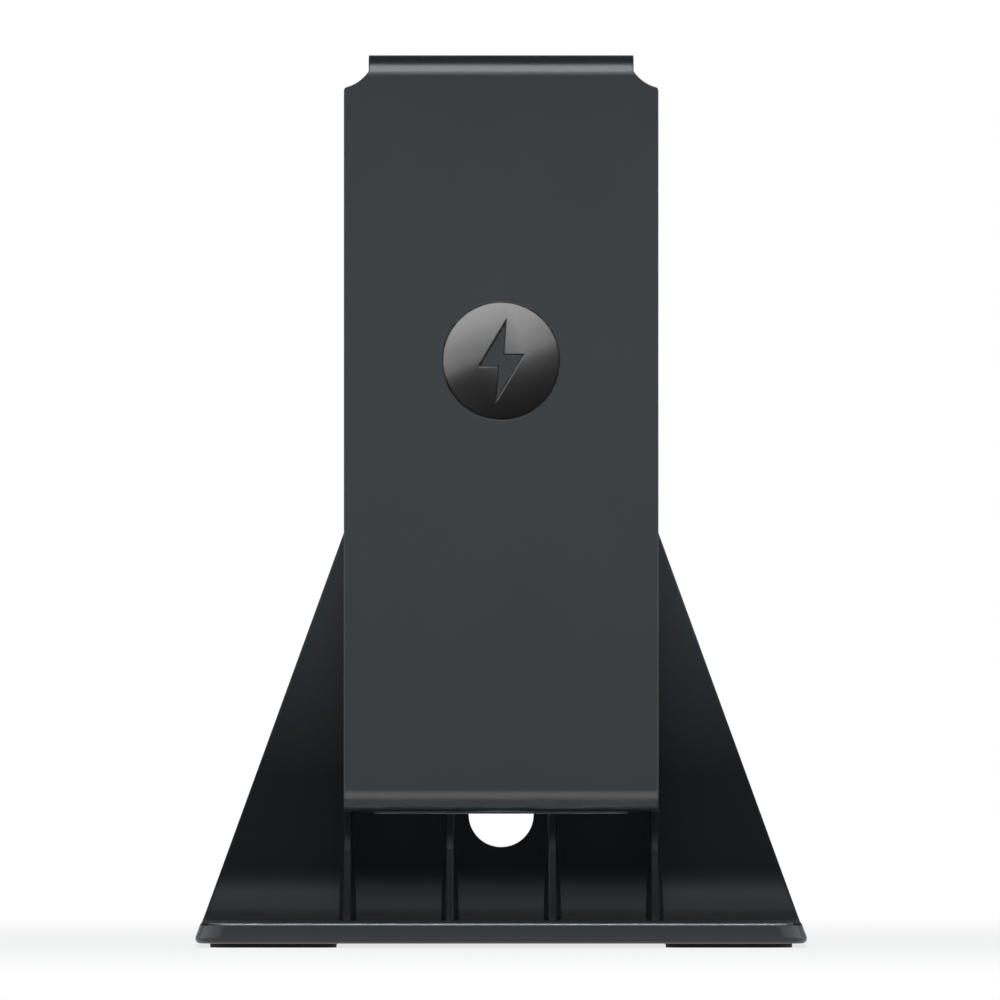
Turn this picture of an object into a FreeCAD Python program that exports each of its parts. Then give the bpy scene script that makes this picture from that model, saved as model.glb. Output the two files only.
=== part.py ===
"""Controller charging stand.

An upright charging unit with a rail channel down each side, screwed to a one-piece moulded stand: a base
plate that coves up into a tapering back wall, with four gusset ribs under the unit.
Millimetres, +Z up, front towards -Y, origin on the table under the middle of the base.
"""
import FreeCAD, Part
import math
import os

Vec = FreeCAD.Vector
TOL = 1e-4

# Stand
base_width = 87.6
base_depth = 56.0
base_thick = 2.9
base_corner = 3.9
base_bottom_round = 1.1
stand_edge_break = 0.35
side_slope = 20.0
wall_thick = 2.6
wall_height = 92.5
wall_top_round = 6.0
cove_radius = 7.5

# Gusset ribs under the unit
rib_tip = 1.0
rib_root = 2.8
rib_reach = 29.0
rib_shoulder = 7.0
rib_shoulder_height = 4.8
rib_crown = 0.3

# Rubber feet
foot_length = 18.0
foot_width = 6.0
foot_proud = 0.6
foot_recess = 0.6
foot_side_inset = 2.4
foot_end_inset = 4.0

# Charging unit
panel_width = 45.0
unit_height = 108.2
unit_depth = 15.0
unit_lift = 15.6
panel_wall = 1.6
roll_radius = 3.2
panel_edge_break = 0.35
flange_reach = 11.0
channel_depth = 3.55
notch_drop = 4.7
notch_rise = 2.35
notch_radius = 5.7
notch_round = 1.0
shoulder_round = 0.5
hook_width = 6.0
hook_reach = 1.5
hook_thick = 1.0

# Rear cover
parting_gap = 0.15
cover_plate = 2.0
cover_wall = 1.5
cover_edge_break = 0.45
step_inset = 0.85
step_drop = 0.4

# Emblem inlay
emblem_radius = 8.4
emblem_thick = 0.9
emblem_proud = 0.1
emblem_bevel = 0.1
emblem_height = 64.5
bolt_size = 5.6

# Side rails
rail_sheet = 0.8
rail_bend = 0.3
rail_mouth = 6.2
rail_inset = 0.1
rail_top_gap = 0.3
stake_radius = 1.0
stake_low = 36.0
stake_high = 88.0

# Contacts
contact_count = 4
contact_pitch = 2.6
contact_width = 1.0
contact_sheet = 0.3
contact_nose = 0.85
contact_crest = 0.35
contact_proud = 0.65
contact_tail = 1.8
contact_height = 20.4
block_depth = 4.2
block_flange = 0.8
block_flange_thick = 2.0
block_end = 1.9

# Circuit board
board_thick = 1.2
board_setback = 7.4
board_gap = 1.0
stem_width = 17.0
board_side_gap = 3.45
stem_height = 9.3
head_height = 19.0

# Power socket
socket_long = 8.94
socket_short = 3.26
socket_sheet = 0.3
socket_rise = 6.3
tongue_long = 6.7
tongue_thick = 0.7
tongue_depth = 4.6

# Cable slot in the wall
slot_width = 9.3
slot_drop = 5.2
slot_over = 7.0

# Board components
chip_side = 5.0
chip_thick = 0.9
coil_side = 4.2
coil_thick = 2.1
coil_corner = 0.5
capacitor_long = 2.0
capacitor_short = 1.25
capacitor_count = 3
component_gap = 1.4

# Screws
screw_radius = 1.0
head_radius = 1.8
head_height_pan = 1.2
boss_radius = 2.5
thread_gap = 0.02
hole_gap = 0.2
case_screw_length = 8.0
case_screw_inset = 4.45
case_screw_drop = 9.0
board_screw_length = 4.2
board_screw_inset = 3.5
board_screw_drop = 2.5
stand_screw_length = 5.4
stand_screw_x = 11.0
stand_screw_low = 36.0
stand_screw_high = 66.0
stand_boss_length = 4.5

# Fits
seat_gap = 0.05
press_gap = 0.1

# Heights
plate_bottom = foot_proud
plate_top = plate_bottom + base_thick
wall_top = plate_top + wall_height
unit_bottom = plate_top + unit_lift
unit_top = unit_bottom + unit_height
shoulder_z = unit_top - notch_drop
channel_bottom = unit_bottom + panel_wall

# Depths, front to back
base_front = -base_depth / 2
wall_back = base_depth / 2
wall_front = wall_back - wall_thick
unit_back = wall_front
unit_front = unit_back - unit_depth
panel_inner = unit_front + panel_wall
cover_front = unit_front + flange_reach + parting_gap
plate_inner = unit_back - cover_plate
board_front = unit_front + board_setback
board_back = board_front + board_thick

# Half-widths
panel_half = panel_width / 2
lip_half = panel_half - channel_depth
tub_half = lip_half - cover_wall
head_half = tub_half - board_side_gap
rail_web = lip_half + seat_gap + rail_sheet

# Places of screws, contacts and socket
case_screw_x = tub_half - case_screw_inset
case_screw_places = [(side * case_screw_x, unit_top - case_screw_drop) for side in (-1, 1)]
stand_screw_places = [(-stand_screw_x, unit_bottom + stand_screw_low),
                      (stand_screw_x, unit_bottom + stand_screw_low),
                      (0, unit_bottom + stand_screw_high)]
stake_heights = [unit_bottom + stake_low, unit_bottom + stake_high]
board_bottom = channel_bottom + board_gap
head_bottom = board_bottom + stem_height
board_top = head_bottom + head_height
board_screw_x = head_half - board_screw_inset
board_screw_places = [(side * board_screw_x, board_top - board_screw_drop) for side in (-1, 1)]
socket_z = board_bottom + socket_rise
contact_middle = unit_bottom + contact_height
contact_heights = [contact_middle + (i - (contact_count - 1) / 2) * contact_pitch
                   for i in range(contact_count)]
block_half = (contact_count - 1) / 2 * contact_pitch + block_end
contact_y = board_back + contact_sheet / 2
emblem_z = unit_bottom + emblem_height


def box(x0, x1, y0, y1, z0, z1):
    """Box between two corners."""
    return Part.makeBox(x1 - x0, y1 - y0, z1 - z0, Vec(x0, y0, z0))


def rod_y(x, z, y0, y1, radius):
    """Cylinder along Y from y0 to y1."""
    return Part.makeCylinder(radius, y1 - y0, Vec(x, y0, z), Vec(0, 1, 0))


def polygon(points):
    """Flat face between corner points."""
    return Part.Face(Part.makePolygon(points + points[:1]))


def prism(points, shift):
    """Closed polygon carried along a vector."""
    return polygon(points).extrude(shift)


def mirrored(shape):
    """The same shape on the other side of the middle plane."""
    return shape.mirror(Vec(0, 0, 0), Vec(1, 0, 0))


def line(a, b):
    """Straight edge between two points."""
    return Part.LineSegment(a, b).toShape()


def arc(a, middle, b):
    """Arc edge through three points."""
    return Part.Arc(a, middle, b).toShape()


def corner_arc(a, b, corner):
    """Quarter arc from a to b that rounds off a square corner."""
    centre = a + b - corner
    return arc(a, centre + (corner - centre) * (1 / math.sqrt(2)), b)


def upright_slot(z_low, z_high, width, y0, y1):
    """Slot along Z on the middle plane, with round ends, from y0 to y1."""
    radius = width / 2
    middle = box(-radius, radius, y0, y1, z_low + radius, z_high - radius)
    ends = [rod_y(0, z, y0, y1, radius) for z in (z_low + radius, z_high - radius)]
    return middle.multiFuse(ends).removeSplitter()


def on_plane(face, axis, value):
    """True for a flat face that lies at a value along an axis, 0 to 2."""
    flat = isinstance(face.Surface, Part.Plane)
    return flat and all(abs(v.Point[axis] - value) < TOL for v in face.Vertexes)


def is_round(face, radius):
    """True for a cylindrical face of a radius."""
    return isinstance(face.Surface, Part.Cylinder) and abs(face.Surface.Radius - radius) < TOL


def rim_edges(shape, is_skin):
    """Edges where the skin faces end at any other face."""
    skin = [face for face in shape.Faces if is_skin(face)]
    rim = []
    for edge in shape.Edges:
        neighbours = shape.ancestorsOfType(edge, Part.Face)
        inside = [any(n.isSame(face) for face in skin) for n in neighbours]
        if any(inside) and not all(inside):
            rim.append(edge)
    return rim


def edges_at(shape, test):
    """Edges whose end points all pass a test."""
    return [edge for edge in shape.Edges if all(test(v.Point) for v in edge.Vertexes)]


def stand_profile():
    """Section of the base, cove and wall, carried across the full width."""
    cove_start = Vec(-base_width / 2, wall_front - cove_radius, plate_top)
    cove_end = Vec(-base_width / 2, wall_front, plate_top + cove_radius)
    cove_corner = Vec(-base_width / 2, wall_front, plate_top)
    corners = [cove_end,
               Vec(-base_width / 2, wall_front, wall_top),
               Vec(-base_width / 2, wall_back, wall_top),
               Vec(-base_width / 2, wall_back, plate_bottom),
               Vec(-base_width / 2, base_front, plate_bottom),
               Vec(-base_width / 2, base_front, plate_top),
               cove_start]
    edges = [line(a, b) for a, b in zip(corners, corners[1:])]
    edges.append(corner_arc(cove_start, cove_end, cove_corner))
    return Part.Face(Part.Wire(edges)).extrude(Vec(base_width, 0, 0))


def side_frame():
    """A-shaped outline of the stand seen from the front, through its full depth."""
    low = base_width / 2
    high = low - (wall_top - plate_bottom) * math.tan(math.radians(side_slope))
    corners = [Vec(-low, base_front, plate_bottom), Vec(low, base_front, plate_bottom),
               Vec(high, base_front, wall_top), Vec(-high, base_front, wall_top)]
    frame = prism(corners, Vec(0, base_depth, 0))
    top_corners = [edge for edge in edges_at(frame, lambda p: abs(p.z - wall_top) < TOL)
                   if abs(edge.Vertexes[0].Point.y - edge.Vertexes[1].Point.y) > TOL]
    return frame.makeFillet(wall_top_round, top_corners)


def rib(x, top):
    """Gusset with a thin crowned front edge and a wider root, from the base up to a height."""
    draft = (rib_root - rib_tip) / 2 / rib_reach
    knee = unit_bottom - rib_shoulder_height
    root_y = wall_front + wall_thick / 2
    toe_slope = (rib_reach - rib_shoulder) / (knee - plate_top)
    toe_z = plate_top - base_thick / 2

    def section(z, reach):
        """Corners of the rib's section at a height."""
        tip_y = wall_front - reach
        root_half = rib_tip / 2 + draft * (root_y - tip_y)
        return [Vec(x + rib_tip / 2, tip_y, z), Vec(x + root_half, root_y, z),
                Vec(x - root_half, root_y, z), Vec(x - rib_tip / 2, tip_y, z)]

    levels = [section(toe_z, rib_reach + (plate_top - toe_z) * toe_slope), section(knee, rib_shoulder),
              section(top, rib_shoulder)]
    spans = []
    for low, high in zip(levels, levels[1:]):
        faces = [polygon(low), polygon(high)]
        faces += [polygon([low[i - 1], low[i], high[i], high[i - 1]]) for i in range(len(low))]
        spans.append(Part.Solid(Part.Shell(faces)))
        crest = (low[0] + low[-1]) * 0.5 - Vec(0, rib_crown, 0)
        crown = Part.Face(Part.Wire([line(low[0], low[-1]), arc(low[-1], crest, low[0])]))
        spans.append(crown.extrude(high[0] - low[0]))
    return spans[0].multiFuse(spans[1:]).removeSplitter()


def foot_places():
    """Middle of each foot, front left, front right, rear left, rear right."""
    x = base_width / 2 - foot_side_inset - foot_length / 2
    front = base_front + foot_end_inset + foot_width / 2
    rear = wall_back - foot_end_inset - foot_width / 2
    return [(-x, front), (x, front), (-x, rear), (x, rear)]


def foot(x, y, grow, z0, z1):
    """Pad with round ends, grown by a clearance."""
    radius = foot_width / 2 + grow
    reach = foot_length / 2 - foot_width / 2
    ends = [Part.makeCylinder(radius, z1 - z0, Vec(x + side * reach, y, z0)) for side in (-1, 1)]
    return box(x - reach, x + reach, y - radius, y + radius, z0, z1).multiFuse(ends).removeSplitter()


def stand():
    """Base, cove, wall and ribs as one moulding."""
    body = stand_profile().common(side_frame())
    corners = edges_at(body, lambda p: abs(p.y - base_front) < TOL)
    upright = [edge for edge in corners
               if abs(edge.Vertexes[0].Point.z - edge.Vertexes[1].Point.z) > base_thick / 2]
    body = body.makeFillet(base_corner, upright)
    under = [edge for edge in edges_at(body, lambda p: abs(p.z - plate_bottom) < TOL)
             if any(abs(v.Point.y - wall_back) > TOL for v in edge.Vertexes)]
    body = body.makeFillet(base_bottom_round, under)
    rim = rim_edges(body, lambda f: on_plane(f, 2, plate_top) or on_plane(f, 1, wall_front)
                    or is_round(f, cove_radius))
    body = body.makeChamfer(stand_edge_break, rim)
    inner = (panel_width - rib_tip) / 6
    outer = 3 * inner
    ribs = [rib(side * inner, unit_bottom - step_drop) for side in (-1, 1)]
    ribs += [rib(side * outer, unit_bottom) for side in (-1, 1)]
    body = body.multiFuse(ribs).removeSplitter()
    cuts = [upright_slot(unit_bottom - slot_drop, socket_z + slot_over, slot_width,
                         wall_front - wall_thick, wall_back + wall_thick)]
    for x, z in stand_screw_places:
        cuts.append(rod_y(x, z, wall_front - wall_thick, wall_back + wall_thick, screw_radius + hole_gap))
        cuts.append(rod_y(x, z, wall_back - head_height_pan, wall_back + wall_thick,
                          head_radius + hole_gap))
    for x, y in foot_places():
        cuts.append(foot(x, y, press_gap, plate_bottom - foot_proud, plate_bottom + foot_recess))
    return body.cut(cuts)


def panel_profile():
    """C-section of the front panel with its rolled top and bottom edges."""
    x = -panel_half
    rear = unit_front + flange_reach
    inner_radius = roll_radius - panel_wall

    def rolled(front, low, high, radius):
        """Edges of one skin of the section, from the bottom flange up to the top flange."""
        points = [Vec(x, rear, low), Vec(x, front + radius, low), Vec(x, front, low + radius),
                  Vec(x, front, high - radius), Vec(x, front + radius, high), Vec(x, rear, high)]
        return [line(points[0], points[1]),
                corner_arc(points[1], points[2], Vec(x, front, low)),
                line(points[2], points[3]),
                corner_arc(points[3], points[4], Vec(x, front, high)),
                line(points[4], points[5])]

    outer = rolled(unit_front, unit_bottom, unit_top, roll_radius)
    inner = rolled(panel_inner, unit_bottom + panel_wall, unit_top - panel_wall, inner_radius)
    ends = [line(Vec(x, rear, unit_bottom), Vec(x, rear, unit_bottom + panel_wall)),
            line(Vec(x, rear, unit_top), Vec(x, rear, unit_top - panel_wall))]
    wire = Part.Wire(Part.__sortEdges__(outer + inner + ends))
    return Part.Face(wire).extrude(Vec(panel_width, 0, 0))


def notch():
    """Space at the right top corner where a controller's rail slides in."""
    front = unit_front - panel_wall
    low = Vec(panel_half, front, shoulder_z)
    high = Vec(lip_half, front, shoulder_z + notch_rise)
    chord = high - low
    sagitta = notch_radius - math.sqrt(notch_radius ** 2 - (chord.Length / 2) ** 2)
    inward = Vec(chord.z, 0, -chord.x).normalize() * -1
    middle = (low + high) * 0.5 + inward * sagitta
    above = unit_top + notch_drop
    beyond = panel_half + notch_drop
    corners = [high, Vec(lip_half, front, above), Vec(beyond, front, above),
               Vec(beyond, front, shoulder_z), low]
    edges = [line(a, b) for a, b in zip(corners, corners[1:])]
    edges.append(arc(low, middle, high))
    space = Part.Face(Part.Wire(edges)).extrude(Vec(0, unit_depth + 2 * panel_wall, 0))
    kink = edges_at(space, lambda p: abs(p.x - high.x) < TOL and abs(p.z - high.z) < TOL)
    return space.makeFillet(notch_round, kink)


def round_shoulders(shape):
    """The corners outside the notches, rounded."""
    corners = edges_at(shape, lambda p: abs(abs(p.x) - panel_half) < TOL and abs(p.z - shoulder_z) < TOL)
    return shape.makeFillet(shoulder_round, corners)


def bolt_outline(grow, y):
    """Charging-bolt outline on the middle plane, grown by a clearance."""
    shape = [(0.12, 1.0), (-0.56, -0.14), (-0.06, -0.14), (-0.12, -1.0), (0.56, 0.14), (0.06, 0.14)]
    points = [Vec(x * bolt_size, y, emblem_z + z * bolt_size) for x, z in shape]
    face = polygon(points)
    return face.makeOffset2D(grow) if grow else face


def emblem():
    """Gloss inlay: a disc with a bolt-shaped window."""
    front = unit_front - emblem_proud
    disc = rod_y(0, emblem_z, front, front + emblem_thick, emblem_radius)
    window = bolt_outline(0, front).extrude(Vec(0, emblem_thick, 0))
    plate = disc.cut(window)
    rim = edges_at(plate, lambda p: abs(p.y - front) < TOL)
    return plate.makeChamfer(emblem_bevel, rim)


def emblem_pocket():
    """Recess that the inlay is pressed into, with an island for its window."""
    front = unit_front - emblem_proud
    depth = emblem_thick
    disc = rod_y(0, emblem_z, front, front + depth, emblem_radius + press_gap)
    island = bolt_outline(-press_gap, front).extrude(Vec(0, depth, 0))
    return disc.cut(island)


def hook(x):
    """Tab on the lower flange that catches behind the rear cover's lower wall."""
    rear = unit_front + flange_reach
    x0 = x - hook_width / 2
    x1 = x + hook_width / 2
    top = channel_bottom + seat_gap + hook_thick
    root = box(x0, x1, rear - hook_reach, rear, channel_bottom - panel_wall / 2, top)
    return root.fuse(box(x0, x1, rear, rear + hook_reach, channel_bottom + seat_gap, top)).removeSplitter()


def front_panel():
    """Front cover with rolled edges, notched top corners, two screw bosses and two hooks."""
    panel = panel_profile().cut([notch(), mirrored(notch())])
    panel = round_shoulders(panel)
    rim = rim_edges(panel, lambda f: on_plane(f, 1, unit_front) or is_round(f, roll_radius)
                    or on_plane(f, 2, unit_bottom) or on_plane(f, 2, unit_top))
    rear = unit_front + flange_reach
    rim = [edge for edge in rim if any(abs(v.Point.y - rear) > TOL for v in edge.Vertexes)]
    panel = panel.makeChamfer(panel_edge_break, rim)
    bosses = [rod_y(x, z, panel_inner - panel_wall / 2, plate_inner - seat_gap, boss_radius)
              for x, z in case_screw_places]
    hooks = [hook(side * case_screw_x) for side in (-1, 1)]
    panel = panel.multiFuse(bosses + hooks).removeSplitter()
    pilots = [rod_y(x, z, unit_back - case_screw_length - thread_gap, unit_back, screw_radius + thread_gap)
              for x, z in case_screw_places]
    return panel.cut(pilots + [emblem_pocket()])


def socket_outline(grow, y0, y1):
    """Oval of the power socket standing on end, grown by a clearance."""
    half = socket_long / 2 + grow
    return upright_slot(socket_z - half, socket_z + half, socket_short + 2 * grow, y0, y1)


def countersunk(x, z, tip_y, grow):
    """Flat-head case screw along Y, its head flush with the cover's back, grown by a clearance."""
    shank = rod_y(x, z, tip_y, unit_back, screw_radius + grow)
    head = Part.makeCone(screw_radius + grow, head_radius + grow, head_height_pan,
                         Vec(x, unit_back - head_height_pan, z), Vec(0, 1, 0))
    return shank.fuse(head).removeSplitter()


def contact_window(x0, x1, grow):
    """Opening on the right for the nose of a contact block, grown by a clearance."""
    half = block_depth / 2 + grow
    return box(x0, x1, contact_y - half, contact_y + half,
               contact_middle - block_half - grow, contact_middle + block_half + grow)


def rail_stake(z, grow, x1):
    """Stake on the right of the tub that a rail is pressed onto, grown by a clearance."""
    x0 = lip_half - cover_wall / 2
    y = (panel_inner + plate_inner) / 2
    return Part.makeCylinder(stake_radius + grow, x1 - x0, Vec(x0, y, z), Vec(1, 0, 0))


def rear_cover():
    """Back of the unit: plate, rim and the tub whose sides carry the rails."""
    cover = box(-panel_half, panel_half, cover_front, unit_back, unit_bottom, unit_top)
    cover = cover.cut([notch(), mirrored(notch())])
    cover = round_shoulders(cover)
    cover = cover.makeChamfer(cover_edge_break, rim_edges(cover, lambda f: on_plane(f, 1, unit_back)))
    channel = box(lip_half, panel_width, cover_front - flange_reach, plate_inner, channel_bottom,
                  unit_top + notch_drop)
    cavity = box(-tub_half, tub_half, cover_front - flange_reach, plate_inner, channel_bottom,
                 unit_top - panel_wall)
    cover = cover.cut([channel, mirrored(channel), cavity])
    side_front = panel_inner + seat_gap
    side = box(tub_half, lip_half, side_front, cover_front + parting_gap,
               channel_bottom + seat_gap, unit_top - panel_wall - seat_gap)
    side_corners = [edge for edge in edges_at(side, lambda p: abs(p.y - side_front) < TOL)
                    if abs(edge.Vertexes[0].Point.x - edge.Vertexes[1].Point.x) > TOL]
    side = side.makeFillet(roll_radius - panel_wall, side_corners)
    right = [side] + [rail_stake(z, 0, rail_web) for z in stake_heights]
    step_half = lip_half - step_inset
    step = box(-step_half, step_half, cover_front, unit_back - cover_edge_break,
               unit_bottom - step_drop, unit_bottom + panel_wall / 2)
    stand_bosses = [rod_y(x, z, plate_inner - stand_boss_length, plate_inner + cover_plate / 2, boss_radius)
                    for x, z in stand_screw_places]
    posts = [rod_y(x, z, board_back, plate_inner + cover_plate / 2, boss_radius)
             for x, z in board_screw_places]
    added = right + [mirrored(s) for s in right] + [step] + stand_bosses + posts
    cover = cover.multiFuse(added).removeSplitter()
    window = contact_window(tub_half - cover_wall, panel_half, seat_gap)
    cuts = [window, mirrored(window)]
    cuts.append(socket_outline(press_gap, plate_inner - cover_plate, unit_back + cover_plate))
    cuts += [countersunk(x, z, plate_inner - cover_plate, hole_gap) for x, z in case_screw_places]
    cuts += [stand_screw(x, z, thread_gap) for x, z in stand_screw_places]
    cuts += [board_screw(x, z, thread_gap) for x, z in board_screw_places]
    return cover.cut(cuts)


def stand_screw(x, z, grow):
    """Pan-head screw from the back of the wall into the rear cover."""
    under_head = wall_back - head_height_pan
    shank = rod_y(x, z, under_head - stand_screw_length - grow, under_head, screw_radius + grow)
    head = rod_y(x, z, under_head, wall_back, head_radius)
    return shank.fuse(head).removeSplitter()


def board_screw(x, z, grow):
    """Pan-head screw from the front of the board into its post."""
    shank = rod_y(x, z, board_front, board_front + board_screw_length + grow, screw_radius + grow)
    head = rod_y(x, z, board_front - head_height_pan, board_front, head_radius)
    return shank.fuse(head).removeSplitter()


def right_rail():
    """Folded steel channel with turned-in lips, for the rail of a controller."""
    x0 = lip_half + seat_gap
    x1 = panel_half - rail_inset
    y0 = panel_inner + seat_gap
    y1 = plate_inner - seat_gap
    z0 = unit_bottom + roll_radius
    z1 = shoulder_z - rail_top_gap
    outer = box(x0, x1, y0, y1, z0, z1)
    inner = box(x0 + rail_sheet, x1 - rail_sheet, y0 + rail_sheet, y1 - rail_sheet, z0, z1)

    def upright_edges(shape):
        """Edges along Z."""
        return [e for e in shape.Edges if abs(e.Vertexes[0].Point.z - e.Vertexes[1].Point.z) > z1 - z0 - TOL]

    outer = outer.makeFillet(rail_bend + rail_sheet, upright_edges(outer))
    inner = inner.makeFillet(rail_bend, upright_edges(inner))
    middle = (y0 + y1) / 2
    mouth = box(x1 - 2 * rail_sheet, x1 + rail_sheet, middle - rail_mouth / 2, middle + rail_mouth / 2,
                z0, z1)
    cuts = [inner, mouth, contact_window(x0 - rail_sheet, x0 + 2 * rail_sheet, seat_gap)]
    cuts += [rail_stake(z, seat_gap, rail_web) for z in stake_heights]
    return outer.cut(cuts)


def contact(z):
    """One sprung contact on the right: a blade with a folded nose and a tail on the board."""
    tip_x = rail_web + contact_proud
    bend_x = tip_x - contact_nose
    back_x = bend_x - contact_nose
    low = z - contact_width / 2
    half = contact_sheet / 2
    blade = box(head_half - contact_tail, bend_x, contact_y - half, contact_y + half,
                low, low + contact_width)
    side = [(back_x, half), (bend_x, contact_nose), (tip_x, contact_crest)]
    outline = side + [(x, -y) for x, y in reversed(side)]
    nose = prism([Vec(x, contact_y + y, low) for x, y in outline], Vec(0, 0, contact_width))
    return blade.fuse(nose).removeSplitter()


def right_contact_pins():
    """All contacts of the right side."""
    return Part.makeCompound([contact(z) for z in contact_heights])


def right_contact_block():
    """Insert in the tub's side that holds the contacts, level with the rail's web."""
    flange_outer = tub_half - seat_gap
    flange_inner = flange_outer - block_flange_thick
    nose = contact_window(flange_inner, rail_web, 0)
    half = block_depth / 2 + block_flange
    flange = box(flange_inner, flange_outer, contact_y - half, contact_y + half,
                 contact_middle - block_half - block_flange, contact_middle + block_half + block_flange)
    block = nose.fuse(flange).removeSplitter()
    nose_back = rail_web + contact_proud - 2 * contact_nose - seat_gap
    blade_half = contact_sheet / 2 + seat_gap
    nose_half = contact_nose + seat_gap
    cuts = []
    for z in contact_heights:
        low = z - contact_width / 2 - seat_gap
        high = z + contact_width / 2 + seat_gap
        cuts.append(box(0, panel_half, contact_y - blade_half, contact_y + blade_half, low, high))
        cuts.append(box(nose_back, panel_half, contact_y - nose_half, contact_y + nose_half, low, high))
    return block.cut(cuts)


def circuit_board():
    """T-shaped board: the stem carries the socket, the head the charging parts."""
    stem = stem_width / 2
    points = [(-stem, board_bottom), (stem, board_bottom), (stem, head_bottom),
              (head_half, head_bottom), (head_half, board_top), (-head_half, board_top),
              (-head_half, head_bottom), (-stem, head_bottom)]
    board = prism([Vec(x, board_front, z) for x, z in points], Vec(0, board_thick, 0))
    holes = [rod_y(x, z, board_front, board_back, screw_radius + hole_gap) for x, z in board_screw_places]
    return board.cut(holes)


def power_socket():
    """Oval metal shell on the back of the board, closed at the board."""
    shell = socket_outline(0, board_back, unit_back)
    return shell.cut(socket_outline(-socket_sheet, board_back + socket_sheet, unit_back + socket_sheet))


def socket_tongue():
    """Contact tongue inside the socket."""
    floor = board_back + socket_sheet
    tongue = box(-tongue_thick / 2, tongue_thick / 2, floor, floor + tongue_depth,
                 socket_z - tongue_long / 2, socket_z + tongue_long / 2)
    tip = [e for e in edges_at(tongue, lambda p: abs(p.y - floor - tongue_depth) < TOL)
           if abs(e.Vertexes[0].Point.z - e.Vertexes[1].Point.z) > TOL]
    return tongue.makeChamfer(tongue_thick / 4, tip)


def charge_chip():
    """Square chip in the middle of the board's head."""
    z = (head_bottom + board_top) / 2
    half = chip_side / 2
    return box(-half, half, board_front - chip_thick, board_front, z - half, z + half)


def charge_coil():
    """Moulded coil beside the chip."""
    z = (head_bottom + board_top) / 2
    x = -chip_side / 2 - component_gap - coil_side
    coil = box(x, x + coil_side, board_front - coil_thick, board_front, z - coil_side / 2, z + coil_side / 2)
    corners = [e for e in coil.Edges if abs(e.Vertexes[0].Point.y - e.Vertexes[1].Point.y) > TOL]
    return coil.makeChamfer(coil_corner, corners)


def capacitors():
    """Row of small parts on the other side of the chip."""
    x = chip_side / 2 + component_gap
    pitch = capacitor_short + component_gap
    middle = (head_bottom + board_top) / 2
    row = []
    for i in range(capacitor_count):
        z = middle + (i - (capacitor_count - 1) / 2) * pitch
        row.append(box(x, x + capacitor_long, board_front - capacitor_short, board_front,
                       z - capacitor_short / 2, z + capacitor_short / 2))
    return Part.makeCompound(row)


def rubber_foot(x, y):
    """Die-cut pad set into the underside of the base."""
    return foot(x, y, 0, 0, plate_bottom + foot_recess)


def main():
    os.makedirs("parts", exist_ok=True)
    nodes = {
        "stand": stand(),
        "front_panel": front_panel(),
        "rear_cover": rear_cover(),
        "emblem_inlay": emblem(),
        "right_rail": right_rail(),
        "left_rail": mirrored(right_rail()),
        "right_contact_block": right_contact_block(),
        "left_contact_block": mirrored(right_contact_block()),
        "right_contact_pins": right_contact_pins(),
        "left_contact_pins": mirrored(right_contact_pins()),
        "circuit_board": circuit_board(),
        "power_socket": power_socket(),
        "socket_tongue": socket_tongue(),
        "charge_chip": charge_chip(),
        "charge_coil": charge_coil(),
        "capacitors": capacitors(),
        "case_screws": Part.makeCompound([countersunk(x, z, unit_back - case_screw_length, 0)
                                          for x, z in case_screw_places]),
        "board_screws": Part.makeCompound([board_screw(x, z, 0) for x, z in board_screw_places]),
        "stand_screws": Part.makeCompound([stand_screw(x, z, 0) for x, z in stand_screw_places]),
    }
    names = ["front_left_foot", "front_right_foot", "rear_left_foot", "rear_right_foot"]
    for name, (x, y) in zip(names, foot_places()):
        nodes[name] = rubber_foot(x, y)
    for name, shape in nodes.items():
        shape.exportStep(f"parts/{name}.step")


main()
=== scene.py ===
"""Charging stand for two slide-on controllers: fine form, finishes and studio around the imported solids.

Metres, +Z up, front towards -Y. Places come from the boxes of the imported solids. Sizes that a box can't give
are fields of the piece that has them.
"""
import logging
import math
from dataclasses import dataclass
from enum import Enum
from typing import Callable, Dict, List, Optional, Sequence, Tuple

import bmesh
import bpy
from bmesh.types import BMEdge, BMesh, BMFace, BMVert
from bpy.types import Collection, ID, Material, Mesh, Node, NodeSocket, NodeTree, Object
from mathutils import Matrix, Quaternion, Vector


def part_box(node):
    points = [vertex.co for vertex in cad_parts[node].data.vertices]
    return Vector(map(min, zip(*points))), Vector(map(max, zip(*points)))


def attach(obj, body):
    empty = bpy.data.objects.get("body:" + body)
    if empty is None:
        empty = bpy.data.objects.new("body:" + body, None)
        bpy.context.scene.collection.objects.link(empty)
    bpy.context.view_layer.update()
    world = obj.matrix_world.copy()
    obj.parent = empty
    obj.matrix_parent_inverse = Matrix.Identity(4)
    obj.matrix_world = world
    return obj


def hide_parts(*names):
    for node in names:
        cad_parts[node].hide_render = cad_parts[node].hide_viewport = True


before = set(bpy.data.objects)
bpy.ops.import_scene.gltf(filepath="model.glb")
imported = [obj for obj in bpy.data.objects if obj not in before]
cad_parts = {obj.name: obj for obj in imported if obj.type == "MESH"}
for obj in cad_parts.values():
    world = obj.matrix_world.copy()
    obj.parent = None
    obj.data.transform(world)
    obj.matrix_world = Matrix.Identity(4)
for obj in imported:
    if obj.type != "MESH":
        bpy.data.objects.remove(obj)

LOG = logging.getLogger("charging_stand")
MM = 0.001
NEAR = 1e-6
FLAT = 0.01
PARALLEL = 0.999
SIDES = (-1, 1)
BODY = "root"
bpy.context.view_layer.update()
Colour = Tuple[float, float, float]
EdgeTest = Callable[[BMEdge], bool]


class Combine(Enum):
    """Ways in which one blank meets another."""

    ADD = "UNION"
    CUT = "DIFFERENCE"


class Axis(Enum):
    """Directions of the frame, as places in a vector."""

    X = 0
    Y = 1
    Z = 2


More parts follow.
